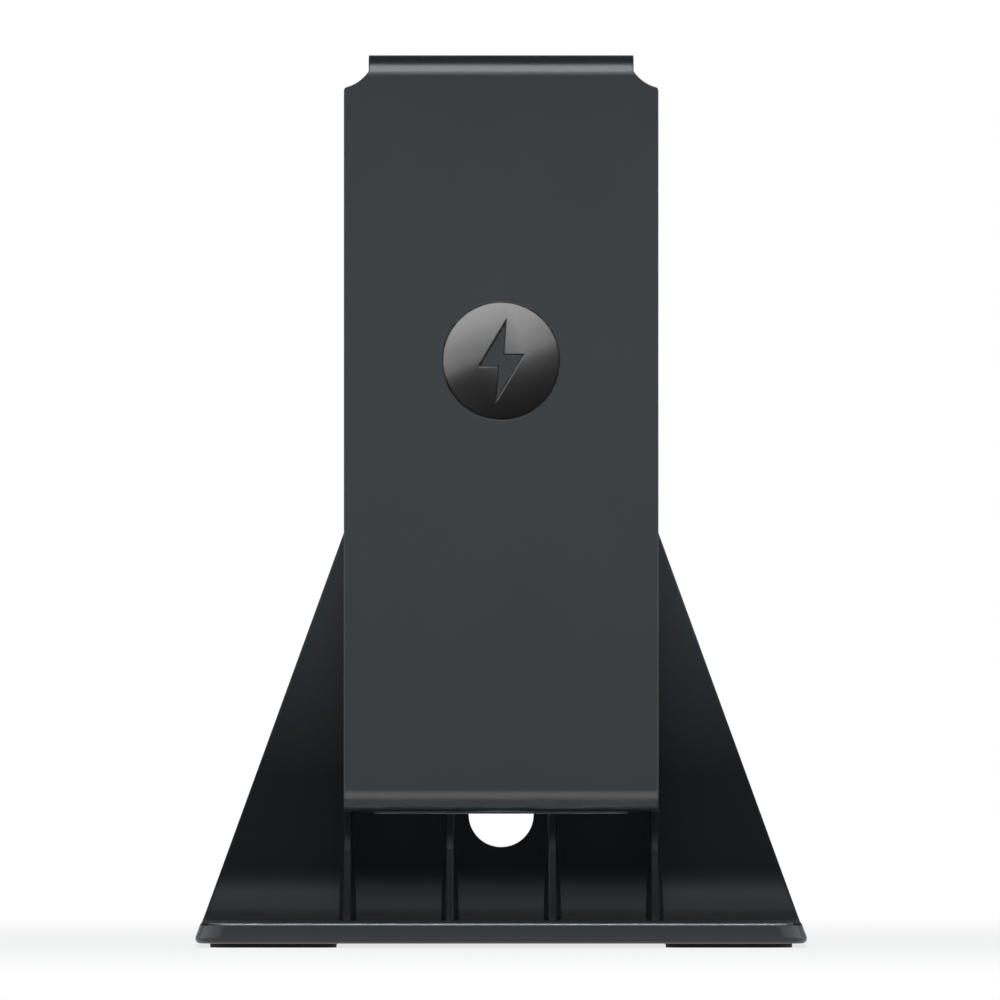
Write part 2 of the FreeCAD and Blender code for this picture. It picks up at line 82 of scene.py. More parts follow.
class Socket(Enum):
    """Kinds of a shader group's sockets."""

    VALUE = "NodeSocketFloat"
    COLOUR = "NodeSocketColor"
    VECTOR = "NodeSocketVector"


class Drive(Enum):
    """Shapes of a screw's head."""

    PAN = "pan"
    COUNTERSUNK = "countersunk"


def middle(edge: BMEdge) -> Vector:
    """Point half-way along an edge."""
    return (edge.verts[0].co + edge.verts[1].co) / 2


def runs_along(edge: BMEdge, axis: Axis) -> bool:
    """True for an edge that is parallel to an axis."""
    step = edge.verts[1].co - edge.verts[0].co
    return abs(step[axis.value]) > PARALLEL * step.length


def is_sharp(edge: BMEdge, degrees: float = 40.0) -> bool:
    """True for an outer edge that turns by more than an angle."""
    return edge.is_manifold and edge.is_convex and edge.calc_face_angle() > math.radians(degrees)


def mid_point(node: str) -> Vector:
    """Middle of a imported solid's box."""
    low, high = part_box(node)
    return (low + high) / 2


def case_screw_places() -> List[Vector]:
    """Find the middle of each case screw's head.

    Returns:
        The places, left then right.
    """
    low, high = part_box("case_screws")
    head = (high.z - low.z) / 2
    return [Vector((side * (high.x - head), high.y, low.z + head)) for side in SIDES]


def put_in_scene(name: str, data: ID) -> Object:
    """Make an object and link it to the scene.

    Args:
        name: Name of the object.
        data: Its mesh, lamp or camera.

    Returns:
        The object.
    """
    made = bpy.data.objects.new(name, data)
    bpy.context.scene.collection.objects.link(made)
    return made


class Blank:
    """A closed mesh that is shaped by mesh operators until it becomes a piece."""

    FLAT_TURN = math.radians(0.3)
    SMOOTH_TURN = math.radians(35.0)

    def __init__(self) -> None:
        """Start with no faces."""
        self.mesh: BMesh = bmesh.new()

    @classmethod
    def prism(cls, outline: Sequence[Vector], shift: Vector) -> "Blank":
        """Carry a flat outline along a vector.

        Args:
            outline: Corners of the outline, in order.
            shift: How far the outline is carried.

        Returns:
            The closed prism.
        """
        blank = cls()
        face = blank.mesh.faces.new([blank.mesh.verts.new(corner) for corner in outline])
        grown = bmesh.ops.extrude_face_region(blank.mesh, geom=[face])["geom"]
        corners = [part for part in grown if isinstance(part, BMVert)]
        bmesh.ops.translate(blank.mesh, verts=corners, vec=shift)
        return blank.face_outwards()

    @classmethod
    def block(cls, low: Vector, high: Vector) -> "Blank":
        """Make a box between two corners.

        Args:
            low: Lowest corner.
            high: Highest corner.

        Returns:
            The box.
        """
        blank = cls()
        place = Matrix.Translation((low + high) / 2) @ Matrix.Diagonal((*(high - low), 1.0))
        bmesh.ops.create_cube(blank.mesh, size=1.0, matrix=place)
        return blank

    @classmethod
    def rod(cls, foot: Vector, along: Vector, radius: float, end_radius: float = -1.0,
            segments: int = 64) -> "Blank":
        """Make a cylinder or a cone.

        Args:
            foot: Middle of the first end.
            along: From the first end to the second.
            radius: Radius at the first end.
            end_radius: Radius at the second end, or a negative number for the same radius.
            segments: Sides of the rod.

        Returns:
            The rod.
        """
        blank = cls()
        turn = along.to_track_quat("Z", "Y").to_matrix().to_4x4()
        bmesh.ops.create_cone(blank.mesh, cap_ends=True, segments=segments, radius1=radius,
                              radius2=radius if end_radius < 0 else end_radius, depth=along.length,
                              matrix=Matrix.Translation(foot + along / 2) @ turn)
        return blank

    @classmethod
    def capsule(cls, first: Vector, last: Vector, along: Vector, radius: float) -> "Blank":
        """Make a bar with round ends.

        Args:
            first: Middle of one round end.
            last: Middle of the other round end.
            along: Direction and length of the bar's thickness.
            radius: Radius of the ends.

        Returns:
            The bar.
        """
        blank = cls.rod(first, along, radius).take_in(cls.rod(last, along, radius))
        hull = bmesh.ops.convex_hull(blank.mesh, input=blank.mesh.verts[:])
        inner = [part for part in hull["geom_interior"] if isinstance(part, BMVert)]
        bmesh.ops.delete(blank.mesh, geom=inner, context="VERTS")
        return blank.merge_flats().face_outwards()

    @classmethod
    def bridged(cls, rings: Sequence[Sequence[Vector]]) -> "Blank":
        """Join outlines of as many corners into one closed form.

        Args:
            rings: Outlines from the lowest to the highest.

        Returns:
            The closed form.
        """
        blank = cls()
        loops: List[List[BMEdge]] = []
        for ring in rings:
            corners = [blank.mesh.verts.new(corner) for corner in ring]
            loops.append([blank.mesh.edges.new(pair) for pair in zip(corners[-1:] + corners, corners)])
        for lower, upper in zip(loops, loops[1:]):
            bmesh.ops.bridge_loops(blank.mesh, edges=lower + upper)
        bmesh.ops.holes_fill(blank.mesh, edges=loops[0] + loops[-1], sides=0)
        return blank.face_outwards()

    def face_outwards(self) -> "Blank":
        """Turn every face outwards."""
        bmesh.ops.recalc_face_normals(self.mesh, faces=self.mesh.faces[:])
        return self

    def merge_flats(self) -> "Blank":
        """Merge doubles and faces that lie in one plane."""
        bmesh.ops.remove_doubles(self.mesh, verts=self.mesh.verts[:], dist=NEAR)
        bmesh.ops.dissolve_limit(self.mesh, angle_limit=self.FLAT_TURN, verts=self.mesh.verts[:],
                                 edges=self.mesh.edges[:])
        return self

    def round(self, chosen: EdgeTest, width: float, segments: int) -> "Blank":
        """Round the chosen edges.

        Args:
            chosen: Test that picks the edges.
            width: Radius of the round on a square edge.
            segments: Faces across the round.

        Returns:
            This blank.
        """
        edges = [edge for edge in self.mesh.edges if chosen(edge)]
        bmesh.ops.bevel(self.mesh, geom=edges, offset=width, offset_type="OFFSET", segments=segments,
                        profile=0.5, affect="EDGES", material=-1, clamp_overlap=False)
        return self

    def slice_off(self, point: Vector, outward: Vector) -> "Blank":
        """Cut the blank by a plane and close the cut.

        Args:
            point: A point of the plane.
            outward: Towards the side that is taken away.

        Returns:
            This blank.
        """
        parts = self.mesh.verts[:] + self.mesh.edges[:] + self.mesh.faces[:]
        bmesh.ops.bisect_plane(self.mesh, geom=parts, plane_co=point, plane_no=outward, clear_outer=True)
        cut = [edge for edge in self.mesh.edges if edge.is_boundary]
        bmesh.ops.holes_fill(self.mesh, edges=cut, sides=0)
        return self.face_outwards()

    def as_mesh(self, name: str) -> Mesh:
        """Copy the blank into a mesh of its own.

        Args:
            name: Name of the mesh.

        Returns:
            The mesh.
        """
        data = bpy.data.meshes.new(name)
        self.mesh.to_mesh(data)
        return data

    def scratch(self) -> Object:
        """Put the blank in a scratch object for a modifier to read."""
        return put_in_scene("scratch", self.as_mesh("scratch"))

    def meet(self, how: Combine, *others: "Blank") -> "Blank":
        """Add other blanks to this one, or cut it by them.

        Args:
            how: What is done with the others.
            others: The other blanks.

        Returns:
            This blank.
        """
        body = self.scratch()
        tools = [other.scratch() for other in others]
        for tool in tools:
            step = body.modifiers.new("meet", "BOOLEAN")
            step.operation = how.value
            step.solver = "EXACT"
            step.object = tool
        seen = body.evaluated_get(bpy.context.evaluated_depsgraph_get())
        shaped = bpy.data.meshes.new_from_object(seen)
        self.mesh.clear()
        self.mesh.from_mesh(shaped)
        bpy.data.meshes.remove(shaped)
        for holder in [body] + tools:
            data = holder.data
            bpy.data.objects.remove(holder)
            bpy.data.meshes.remove(data)
        return self.merge_flats()

    def take_in(self, other: "Blank") -> "Blank":
        """Hold another blank as a separate shell of the same piece.

        Args:
            other: The other blank, which stays as it is.

        Returns:
            This blank.
        """
        data = other.as_mesh("scratch")
        self.mesh.from_mesh(data)
        bpy.data.meshes.remove(data)
        return self

    def mirrored(self) -> "Blank":
        """Copy this blank to the other side of the middle plane.

        Returns:
            The copy.
        """
        twin = Blank().take_in(self)
        bmesh.ops.scale(twin.mesh, vec=Vector((-1, 1, 1)), verts=twin.mesh.verts[:])
        return twin.face_outwards()

    def paint(self, chosen: Callable[[BMFace], bool], index: int) -> "Blank":
        """Give the chosen faces a material place.

        Args:
            chosen: Test that picks the faces.
            index: The material place.

        Returns:
            This blank.
        """
        for face in filter(chosen, self.mesh.faces):
            face.material_index = index
        return self

    def piece(self, name: str, slot: str, finishes: Sequence[Material], nodes: Sequence[str]) -> Object:
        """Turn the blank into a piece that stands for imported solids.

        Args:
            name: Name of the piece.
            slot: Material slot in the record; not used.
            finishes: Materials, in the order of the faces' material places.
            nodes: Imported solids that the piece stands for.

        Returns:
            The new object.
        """
        for face in self.mesh.faces:
            face.smooth = True
        for edge in self.mesh.edges:
            edge.smooth = not edge.is_manifold or edge.calc_face_angle() < self.SMOOTH_TURN
        data = self.as_mesh(name)
        self.mesh.free()
        for finish in finishes:
            data.materials.append(finish)
        made = put_in_scene(name, data)
        flats = made.modifiers.new("even_flats", "WEIGHTED_NORMAL")
        flats.keep_sharp = True
        flats.weight = 100
        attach(made, BODY)
        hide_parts(*nodes)
        LOG.info("%s: %d faces", name, len(data.polygons))
        return made


class NodeBoard:
    """Places and joins the nodes of one shader tree."""

    COLOUR_MIX = (0, 6, 7)

    def __init__(self, tree: NodeTree) -> None:
        """Keep the tree that is drawn on."""
        self.tree = tree

    @classmethod
    def on(cls, owner: ID) -> "NodeBoard":
        """Start an empty shader tree.

        Args:
            owner: The material or world that gets the tree.

        Returns:
            The board of the tree.
        """
        owner.use_nodes = True
        owner.node_tree.nodes.clear()
        return cls(owner.node_tree)

    def node(self, kind: str, settings: Optional[Dict[str, object]] = None,
             **inputs: object) -> Node:
        """Add a node.

        Args:
            kind: Type name of the node.
            settings: Properties of the node.
            inputs: Values or sockets by input name, with _ for a space.

        Returns:
            The node.
        """
        made = self.tree.nodes.new(kind)
        for key, value in (settings or {}).items():
            setattr(made, key, value)
        self.fill(made, **inputs)
        return made

    def row(self, kind: str, settings: Dict[str, object], *parts: object) -> Node:
        """Add a node and feed its first inputs in order.

        Args:
            kind: Type name of the node.
            settings: Properties of the node.
            parts: Values or sockets.

        Returns:
            The node.
        """
        made = self.node(kind, settings)
        for socket, part in zip(made.inputs, parts):
            self.feed(socket, part)
        return made

    def fill(self, node: Node, **inputs: object) -> None:
        """Feed inputs of a node by name, with _ for a space."""
        for key, value in inputs.items():
            self.feed(node.inputs[key.replace("_", " ")], value)

    def feed(self, socket: NodeSocket, value: object) -> None:
        """Set a socket, or link another socket to it.

        Args:
            socket: The socket that takes the value.
            value: A plain value, or a socket to link.
        """
        if isinstance(value, NodeSocket):
            self.tree.links.new(value, socket)
        else:
            socket.default_value = value

    def math(self, operation: str, first: object, second: object) -> NodeSocket:
        """Work out one value from two."""
        return self.row("ShaderNodeMath", {"operation": operation}, first, second).outputs[0]

    def spread(self, value: object, low: float, high: float, to_low: object,
               to_high: object) -> NodeSocket:
        """Map a value from one range to another, clamped."""
        ranges = (value, low, high, to_low, to_high)
        return self.row("ShaderNodeMapRange", {"clamp": True}, *ranges).outputs[0]

    def blend(self, share: object, first: Node, second: Node) -> Node:
        """Mix two shaders."""
        return self.row("ShaderNodeMixShader", {}, share, first.outputs[0], second.outputs[0])

    def mix(self, share: object, first: object, second: object) -> NodeSocket:
        """Mix two colours.

        Args:
            share: Share of the second colour.
            first: First colour.
            second: Second colour.

        Returns:
            The mixed colour.
        """
        made = self.node("ShaderNodeMix", {"data_type": "RGBA"})
        for place, part in zip(self.COLOUR_MIX, (share, first, second)):
            self.feed(made.inputs[place], part)
        return made.outputs[2]

    def scale(self, colour: object, share: object) -> NodeSocket:
        """Multiply a colour by a value.

        Args:
            colour: The colour.
            share: The value.

        Returns:
            The new colour.
        """
        made = self.row("ShaderNodeVectorMath", {"operation": "SCALE"}, colour)
        self.fill(made, Scale=share)
        return made.outputs[0]

    def noise(self, place: object, scale: object, detail: float,
              roughness: float = 0.5) -> NodeSocket:
        """Draw noise over the surface."""
        return self.node("ShaderNodeTexNoise", Vector=place, Scale=scale, Detail=detail,
                         Roughness=roughness).outputs["Fac"]


def start_group(name: str, inputs: Dict[str, Socket], outputs: Dict[str, Socket]
                ) -> Tuple[NodeBoard, Dict[str, NodeSocket], Node]:
    """Make an empty shader group with named sockets.

    Args:
        name: Name of the group.
        inputs: Kinds of socket by input name.
        outputs: Kinds of socket by output name.

    Returns:
        The group's board, its inputs by name and its output node.
    """
    group = bpy.data.node_groups.new(name, "ShaderNodeTree")
    for way, sockets in (("INPUT", inputs), ("OUTPUT", outputs)):
        for key, kind in sockets.items():
            group.interface.new_socket(name=key, in_out=way, socket_type=kind.value)
    board = NodeBoard(group)
    entry = board.node("NodeGroupInput")
    return board, {key: entry.outputs[key] for key in inputs}, board.node("NodeGroupOutput")


class Effects:
    """Shader groups that several finishes share."""

    LOOK = {"Colour": Socket.COLOUR, "Roughness": Socket.VALUE}
    SPAN = (0.3, 0.7)
    GRAIN = (3.0, 0.6)
    PIT_SIZE = 0.55
    PIT_SHARE = 0.6
    SPECK = (0.94, 1.06)
    CLOUD = (60.0, 4.0, 0.55)
    BEVEL_SAMPLES = 4
    EDGE_TURN = (0.98, 0.80)
    BREAKS = (700.0, 3.0)
    BREAK_SPAN = (0.38, 0.62)
    BREAK_SHARE = (0.25, 1.0)
    WORN = (0.22, 0.225, 0.23, 1.0)
    WORN_GLOSS = 0.08
    LINES = (1.0, 4.0, 0.7)
    LINE_TONE = (0.86, 1.08)
    LINE_GLOSS = (-0.06, 0.10)
    STAINS = (160.0, 3.0)
    STAIN_TONE = (0.92, 1.04)

    def __init__(self) -> None:
        """Build each group once."""
        self.grain = self.moulded_grain()
        self.rub = self.edge_rub()
        self.brush = self.brushed_lines()

    def moulded_grain(self) -> NodeTree:
        """Draw fine spark-eroded grain with broad, faint clouds in colour and gloss.

        Returns:
            The group.
        """
        board, given, out = start_group(
            "moulded_grain", {"Vector": Socket.VECTOR, **self.LOOK, "Fineness": Socket.VALUE,
                              "Cloud": Socket.VALUE, "Gloss Spread": Socket.VALUE},
            {**self.LOOK, "Height": Socket.VALUE})
        place, fineness = given["Vector"], given["Fineness"]
        grain = board.noise(place, fineness, *self.GRAIN)
        pits = board.node("ShaderNodeTexVoronoi", {"feature": "SMOOTH_F1"}, Vector=place,
                          Scale=board.math("MULTIPLY", fineness, self.PIT_SIZE)).outputs["Distance"]
        cloud = board.noise(place, *self.CLOUD)
        swing = board.math("MULTIPLY", board.math("SUBTRACT", cloud, 0.5), given["Cloud"])
        speck = board.spread(grain, *self.SPAN, *self.SPECK)
        tone = board.math("MULTIPLY", board.math("ADD", swing, 1.0), speck)
        both = board.math("SUBTRACT", board.math("ADD", cloud, grain), 1.0)
        gloss = board.math("MULTIPLY", both, given["Gloss Spread"])
        board.fill(out, Colour=board.scale(given["Colour"], tone),
                   Roughness=board.math("ADD", given["Roughness"], gloss),
                   Height=board.math("ADD", grain, board.math("MULTIPLY", pits, self.PIT_SHARE)))
        return board.tree

    def edge_rub(self) -> NodeTree:
        """Draw edges rubbed a little lighter and smoother, broken up by noise.

        Returns:
            The group.
        """
        board, given, out = start_group(
            "edge_rub", {"Vector": Socket.VECTOR, **self.LOOK, "Amount": Socket.VALUE, "Width": Socket.VALUE},
            {**self.LOOK, "Normal": Socket.VECTOR})
        soft = board.node("ShaderNodeBevel", {"samples": self.BEVEL_SAMPLES},
                          Radius=given["Width"]).outputs["Normal"]
        true = board.node("ShaderNodeNewGeometry").outputs["Normal"]
        facing = board.row("ShaderNodeVectorMath", {"operation": "DOT_PRODUCT"}, soft, true).outputs["Value"]
        edge = board.spread(facing, *self.EDGE_TURN, 0.0, 1.0)
        breaks = board.spread(board.noise(given["Vector"], *self.BREAKS), *self.BREAK_SPAN, *self.BREAK_SHARE)
        mask = board.math("MULTIPLY", board.math("MULTIPLY", edge, breaks), given["Amount"])
        smoother = board.math("MULTIPLY", mask, self.WORN_GLOSS)
        board.fill(out, Colour=board.mix(mask, given["Colour"], self.WORN),
                   Roughness=board.math("SUBTRACT", given["Roughness"], smoother), Normal=soft)
        return board.tree

    def brushed_lines(self) -> NodeTree:
        """Draw the long fine scratches of rolled or brushed metal.

        Returns:
            The group.
        """
        board, given, out = start_group(
            "brushed_lines", {"Vector": Socket.VECTOR, **self.LOOK, "Stretch": Socket.VECTOR},
            {**self.LOOK, "Height": Socket.VALUE})
        place = board.node("ShaderNodeMapping", Vector=given["Vector"], Scale=given["Stretch"]).outputs[0]
        lines = board.noise(place, *self.LINES)
        stain = board.noise(given["Vector"], *self.STAINS)
        tone = board.math("MULTIPLY", board.spread(lines, *self.SPAN, *self.LINE_TONE),
                          board.spread(stain, *self.SPAN, *self.STAIN_TONE))
        gloss = board.spread(lines, *self.SPAN, *self.LINE_GLOSS)
        board.fill(out, Colour=board.scale(given["Colour"], tone),
                   Roughness=board.math("ADD", given["Roughness"], gloss), Height=lines)
        return board.tree


@dataclass(frozen=True)
class Finish:
    """A finish with relief in its surface and edges that are rubbed lighter."""

    name: str
    colour: Colour
    roughness: float
    depth: float = 0.004 * MM
    rub: float = 0.10
    rub_width: float = 0.25 * MM

    def surface(self, board: NodeBoard, effects: Effects, place: NodeSocket) -> Node:
        """Lay the relief, which each kind of finish has of its own."""
        raise NotImplementedError

    def shader(self) -> Dict[str, float]:
        """Values of the shader that are the same all over."""
        raise NotImplementedError

    def material(self, effects: Effects) -> Material:
        """Build the material.

        Args:
            effects: The shared shader groups.

        Returns:
            The material.
        """
        made = bpy.data.materials.new(self.name)
        board = NodeBoard.on(made)
        place = board.node("ShaderNodeTexCoord").outputs["Object"]
        surface = self.surface(board, effects, place).outputs
        rub = board.node("ShaderNodeGroup", {"node_tree": effects.rub}, Vector=place,
                         Colour=surface["Colour"], Roughness=surface["Roughness"], Amount=self.rub,
                         Width=self.rub_width).outputs
        bump = board.node("ShaderNodeBump", Height=surface["Height"], Distance=self.depth, Strength=1.0,
                          Normal=rub["Normal"])
        skin = board.node("ShaderNodeBsdfPrincipled", Base_Color=rub["Colour"], Roughness=rub["Roughness"],
                          Normal=bump.outputs[0], **self.shader())
        board.node("ShaderNodeOutputMaterial", Surface=skin.outputs[0])
        return made


@dataclass(frozen=True)
class Moulding(Finish):
    """A moulded plastic or rubber finish, which may get less dull with height, and lighter with height as
    painted shade, darker towards the bottom.
    """

    specular: float = 0.5
    fineness: float = 5200.0
    cloud: float = 0.08
    gloss_spread: float = 0.03
    fade: Tuple[float, float] = (1.0, 1.0)
    fade_heights: Tuple[float, float] = (24.0 * MM, 52.0 * MM)
    dull: float = 0.0
    dull_heights: Tuple[float, float] = (3.55 * MM, 4.3 * MM)

    def surface(self, board: NodeBoard, effects: Effects, place: NodeSocket) -> Node:
        """Lay the moulded grain.

        Args:
            board: Board of the material.
            effects: The shared shader groups.
            place: Place on the piece.

        Returns:
            The grain.
        """
        height = board.node("ShaderNodeSeparateXYZ", Vector=place).outputs["Z"]
        # painted shade: the colour is scaled by a ramp over a band of heights, darker towards the bottom
        tone = board.scale(self.colour, board.spread(height, *self.fade_heights, *self.fade))
        dull = board.spread(height, *self.dull_heights, self.dull, 0.0)
        return board.node("ShaderNodeGroup", {"node_tree": effects.grain}, Vector=place, Colour=tone,
                          Fineness=self.fineness, Cloud=self.cloud, Gloss_Spread=self.gloss_spread,
                          Roughness=board.math("ADD", dull, self.roughness))

    def shader(self) -> Dict[str, float]:
        """Values of the shader that are the same all over."""
        return {"Specular_IOR_Level": self.specular}


@dataclass(frozen=True)
class Metal(Finish):
    """A rolled, plated or blackened metal finish."""

    depth: float = 0.0015 * MM
    rub: float = 0.25
    rub_width: float = 0.08 * MM
    stretch: Tuple[float, float, float] = (9000.0, 9000.0, 160.0)

    def surface(self, board: NodeBoard, effects: Effects, place: NodeSocket) -> Node:
        """Lay the brushed lines."""
        return board.node("ShaderNodeGroup", {"node_tree": effects.brush}, Vector=place,
                          Colour=(*self.colour, 1.0), Stretch=self.stretch, Roughness=self.roughness)

    def shader(self) -> Dict[str, float]:
        """Values of the shader that are the same all over."""
        return {"Metallic": 1.0}


class Finishes:
    """Every material of the stand, built once."""

    SLATE = (0.0110, 0.0152, 0.0181)

    def __init__(self) -> None:
        """Build the shared effects, then each finish."""
        self.effects = Effects()
        self.slate = self.mould("slate_satin", self.SLATE, 0.31)
        # recess finish: its colour is darker than slate as painted shade in the recess, and its ramp, 1.0 at
        # the bottom to 3.6 at the top, paints more shade towards the bottom; low specular and high roughness
        # make it matt
        self.recess = self.mould("recess_matt_painted_shade", (0.0075, 0.0083, 0.0094), 0.40, specular=0.04,
                                 fineness=3600.0, depth=0.007 * MM, rub=0.03, fade=(1.0, 3.6), dull=0.5)
        self.lip = self.mould("slate_lip", self.SLATE, 0.40, specular=0.8, depth=0.0, gloss_spread=0.0,
                              rub=0.0, rub_width=0.0)
        self.gloss = self.mould("gloss_inlay", (0.0012, 0.0012, 0.0014), 0.045, specular=0.1,
                                depth=0.00004 * MM, gloss_spread=0.02, rub=0.05)
        self.black = self.mould("black_insert", (0.012, 0.012, 0.013), 0.42)
        self.rubber = self.mould("foot_rubber", (0.018, 0.018, 0.018), 0.72, specular=0.3, fineness=2400.0,
                                 depth=0.012 * MM, rub=0.0)
        self.laminate = self.mould("board_mask", (0.012, 0.075, 0.035), 0.30, fineness=1800.0, cloud=0.5,
                                   rub=0.3)
        self.resin = self.mould("chip_resin", (0.015, 0.015, 0.016), 0.55)
        self.powder = self.mould("coil_powder", (0.09, 0.09, 0.095), 0.62, fineness=2600.0, cloud=0.3)
        self.ceramic = self.mould("capacitor_ceramic", (0.32, 0.22, 0.13), 0.45, cloud=0.25)
        self.rail = self.metal("rail_plated", (0.20, 0.20, 0.21), 0.30)
        self.socket = self.metal("socket_rolled", (0.55, 0.55, 0.56), 0.24, stretch=(7000.0, 300.0, 7000.0))
        self.screw = self.metal("screw_blackened", (0.12, 0.12, 0.125), 0.36,
                                stretch=(4000.0, 4000.0, 4000.0))
        self.gold = self.metal("contact_plated", (0.80, 0.58, 0.24), 0.22, stretch=(600.0, 6000.0, 6000.0))

    def mould(self, name: str, colour: Colour, roughness: float, **more: object) -> Material:
        """Build a moulded finish."""
        return Moulding(name, colour, roughness, **more).material(self.effects)

    def metal(self, name: str, colour: Colour, roughness: float, **more: object) -> Material:
        """Build a metal finish."""
        return Metal(name, colour, roughness, **more).material(self.effects)


@dataclass
class MouldedStand:
    """Base plate, cove, tapering wall and gusset ribs, moulded as one."""

    plate_thick: float = 2.9 * MM
    wall_thick: float = 2.6 * MM
    cove_radius: float = 7.5 * MM
    side_slope: float = math.radians(20.0)
    plate_corner: float = 3.9 * MM
    under_round: float = 1.1 * MM
    rim_round: float = 0.35 * MM
    lip_turn: float = 2.1
    top_round: float = 6.0 * MM
    rib_tip: float = 1.0 * MM
    rib_root: float = 2.8 * MM
    rib_reach: float = 29.0 * MM
    rib_shoulder: float = 7.0 * MM
    rib_shoulder_height: float = 4.8 * MM
    rib_crown: float = 0.12 * MM
    rib_knee: float = 2.0 * MM
    step_drop: float = 0.4 * MM
    slot_width: float = 9.3 * MM
    slot_drop: float = 5.2 * MM
    slot_over: float = 7.0 * MM
    foot_fit: float = 0.1 * MM
    screw_room: float = 0.2 * MM
    BACK_TURN = 0.7
    FRONT_TURN = -0.05
    RIM_TURN = (0.1, 0.995)

    def __post_init__(self) -> None:
        """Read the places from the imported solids."""
        self.low, self.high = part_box("stand")
        lost = math.tan(self.side_slope) + 1.0 / math.cos(self.side_slope) - 1.0
        self.foot_half = self.high.x + lost * self.under_round
        self.plate_top = self.low.z + self.plate_thick
        self.wall_front = self.high.y - self.wall_thick
        self.unit_low, self.unit_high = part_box("front_panel")

    def shell(self) -> Blank:
        """Make the base, cove and wall between the two sloping sides.

        Returns:
            The shell with all its rounds.
        """
        x = -self.foot_half - self.plate_thick
        y0, y1, z0, z1 = self.low.y, self.high.y, self.low.z, self.high.z
        corners = [(y1, z0), (y0, z0), (y0, self.plate_top), (self.wall_front, self.plate_top),
                   (self.wall_front, z1), (y1, z1)]
        shell = Blank.prism([Vector((x, *corner)) for corner in corners], Vector((-2 * x, 0, 0)))
        shell.round(lambda e: runs_along(e, Axis.X) and not e.is_convex, self.cove_radius, 16)
        for side in SIDES:
            foot = Vector((side * self.foot_half, 0, self.low.z))
            shell.slice_off(foot, Vector((side * math.cos(self.side_slope), 0, math.sin(self.side_slope))))
        shell.round(lambda e: runs_along(e, Axis.Y) and middle(e).z > z1 - NEAR, self.top_round, 12)
        shell.round(lambda e: middle(e).y < y0 + NEAR and not runs_along(e, Axis.X), self.plate_corner, 12)
        shell.round(self.lies_under, self.under_round, 6)
        return shell.round(self.is_rim, self.rim_round, 4)

    def lies_under(self, edge: BMEdge) -> bool:
        """True for an edge round the underside, apart from the one at the back."""
        flat = all(abs(corner.co.z - self.low.z) < NEAR for corner in edge.verts)
        return flat and any(corner.co.y < self.high.y - NEAR for corner in edge.verts)

    def is_skin(self, face: BMFace) -> bool:
        """Test a face for the plate's top, the cove or the wall's front.

        Args:
            face: The face.

        Returns:
            True for a face of that skin.
        """
        centre = face.calc_center_median()
        ahead = face.normal.y < FLAT and face.normal.z > -FLAT and abs(face.normal.x) < FLAT
        return ahead and centre.y > self.low.y + self.under_round and centre.z < self.high.z - NEAR

    def is_rim(self, edge: BMEdge) -> bool:
        """True for an edge where the skin ends."""
        return edge.is_manifold and sum(self.is_skin(face) for face in edge.link_faces) == 1

    def rib(self, x: float, top: float) -> Blank:
        """Make a gusset with a thin rounded front edge and a wider root.

        Args:
            x: Middle of the rib.
            top: Height of its top.

        Returns:
            The rib, sunk into the plate and the wall.
        """
        knee = self.unit_low.z - self.rib_shoulder_height
        toe = self.plate_top - self.plate_thick / 2
        root_y = self.wall_front + self.wall_thick / 2
        draft = (self.rib_root - self.rib_tip) / 2 / self.rib_reach
        slope = (self.rib_reach - self.rib_shoulder) / (knee - self.plate_top)
        rings = []
        tip = self.rib_tip / 2
        toe_reach = self.rib_reach + (self.plate_top - toe) * slope
        for z, reach in ((toe, toe_reach), (knee, self.rib_shoulder), (top, self.rib_shoulder)):
            tip_y = self.wall_front - reach
            root = tip + draft * (root_y - tip_y)
            rings.append([Vector((x + across, y, z)) for across, y in
                          ((tip, tip_y), (root, root_y), (-root, root_y), (-tip, tip_y))])
        rib = Blank.bridged(rings)
        rib.round(lambda e: runs_along(e, Axis.X) and abs(middle(e).z - knee) < NEAR
                  and abs(middle(e).y - self.wall_front + self.rib_shoulder) < NEAR, self.rib_knee, 8)
        return rib.round(lambda e: abs(abs(middle(e).x - x) - tip) < NEAR
                         and abs(e.verts[0].co.z - e.verts[1].co.z) > NEAR, self.rib_crown, 3)

    def ribs(self) -> List[Blank]:
        """Make all four ribs, evenly spaced under the unit.

        Returns:
            The ribs, from the inner pair to the outer one.
        """
        outer = self.unit_high.x - self.rib_tip / 2
        places = [(outer / 3, self.unit_low.z - self.step_drop), (outer, self.unit_low.z)]
        return [self.rib(side * x, top) for x, top in places for side in SIDES]

    def screw_places(self) -> List[Vector]:
        """Find the middle of each wall screw's head.

        Returns:
            The places: two low ones and a high one.
        """
        low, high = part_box("stand_screws")
        head = Screws.head_radius
        x, z0, z1 = high.x - head, low.z + head, high.z - head
        return [Vector((across, self.high.y, z)) for across, z in ((-x, z0), (x, z0), (0, z1))]

    def openings(self) -> List[Blank]:
        """Make the tools that cut the cable slot, screw holes and foot recesses.

        Returns:
            The tools.
        """
        through = Vector((0, 3 * self.wall_thick, 0))
        start = self.wall_front - self.wall_thick
        radius = self.slot_width / 2
        ends = (self.unit_low.z - self.slot_drop + radius,
                mid_point("power_socket").z + self.slot_over - radius)
        tools = [Blank.capsule(*[Vector((0, start, z)) for z in ends], through, radius)]
        under_head = self.high.y - Screws.head_height
        for place in self.screw_places():
            for y, hole in ((start, Screws.shank_radius), (under_head, Screws.head_radius)):
                tools.append(Blank.rod(Vector((place.x, y, place.z)), through, hole + self.screw_room))
        return tools + [RubberFoot(name).pad(self.foot_fit, self.low.z) for name in RubberFoot.names()]

    def build(self, finishes: Finishes) -> Object:
        """Make the piece.

        Args:
            finishes: All materials.

        Returns:
            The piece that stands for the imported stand.
        """
        body = self.shell().meet(Combine.ADD, *self.ribs()).meet(Combine.CUT, *self.openings())
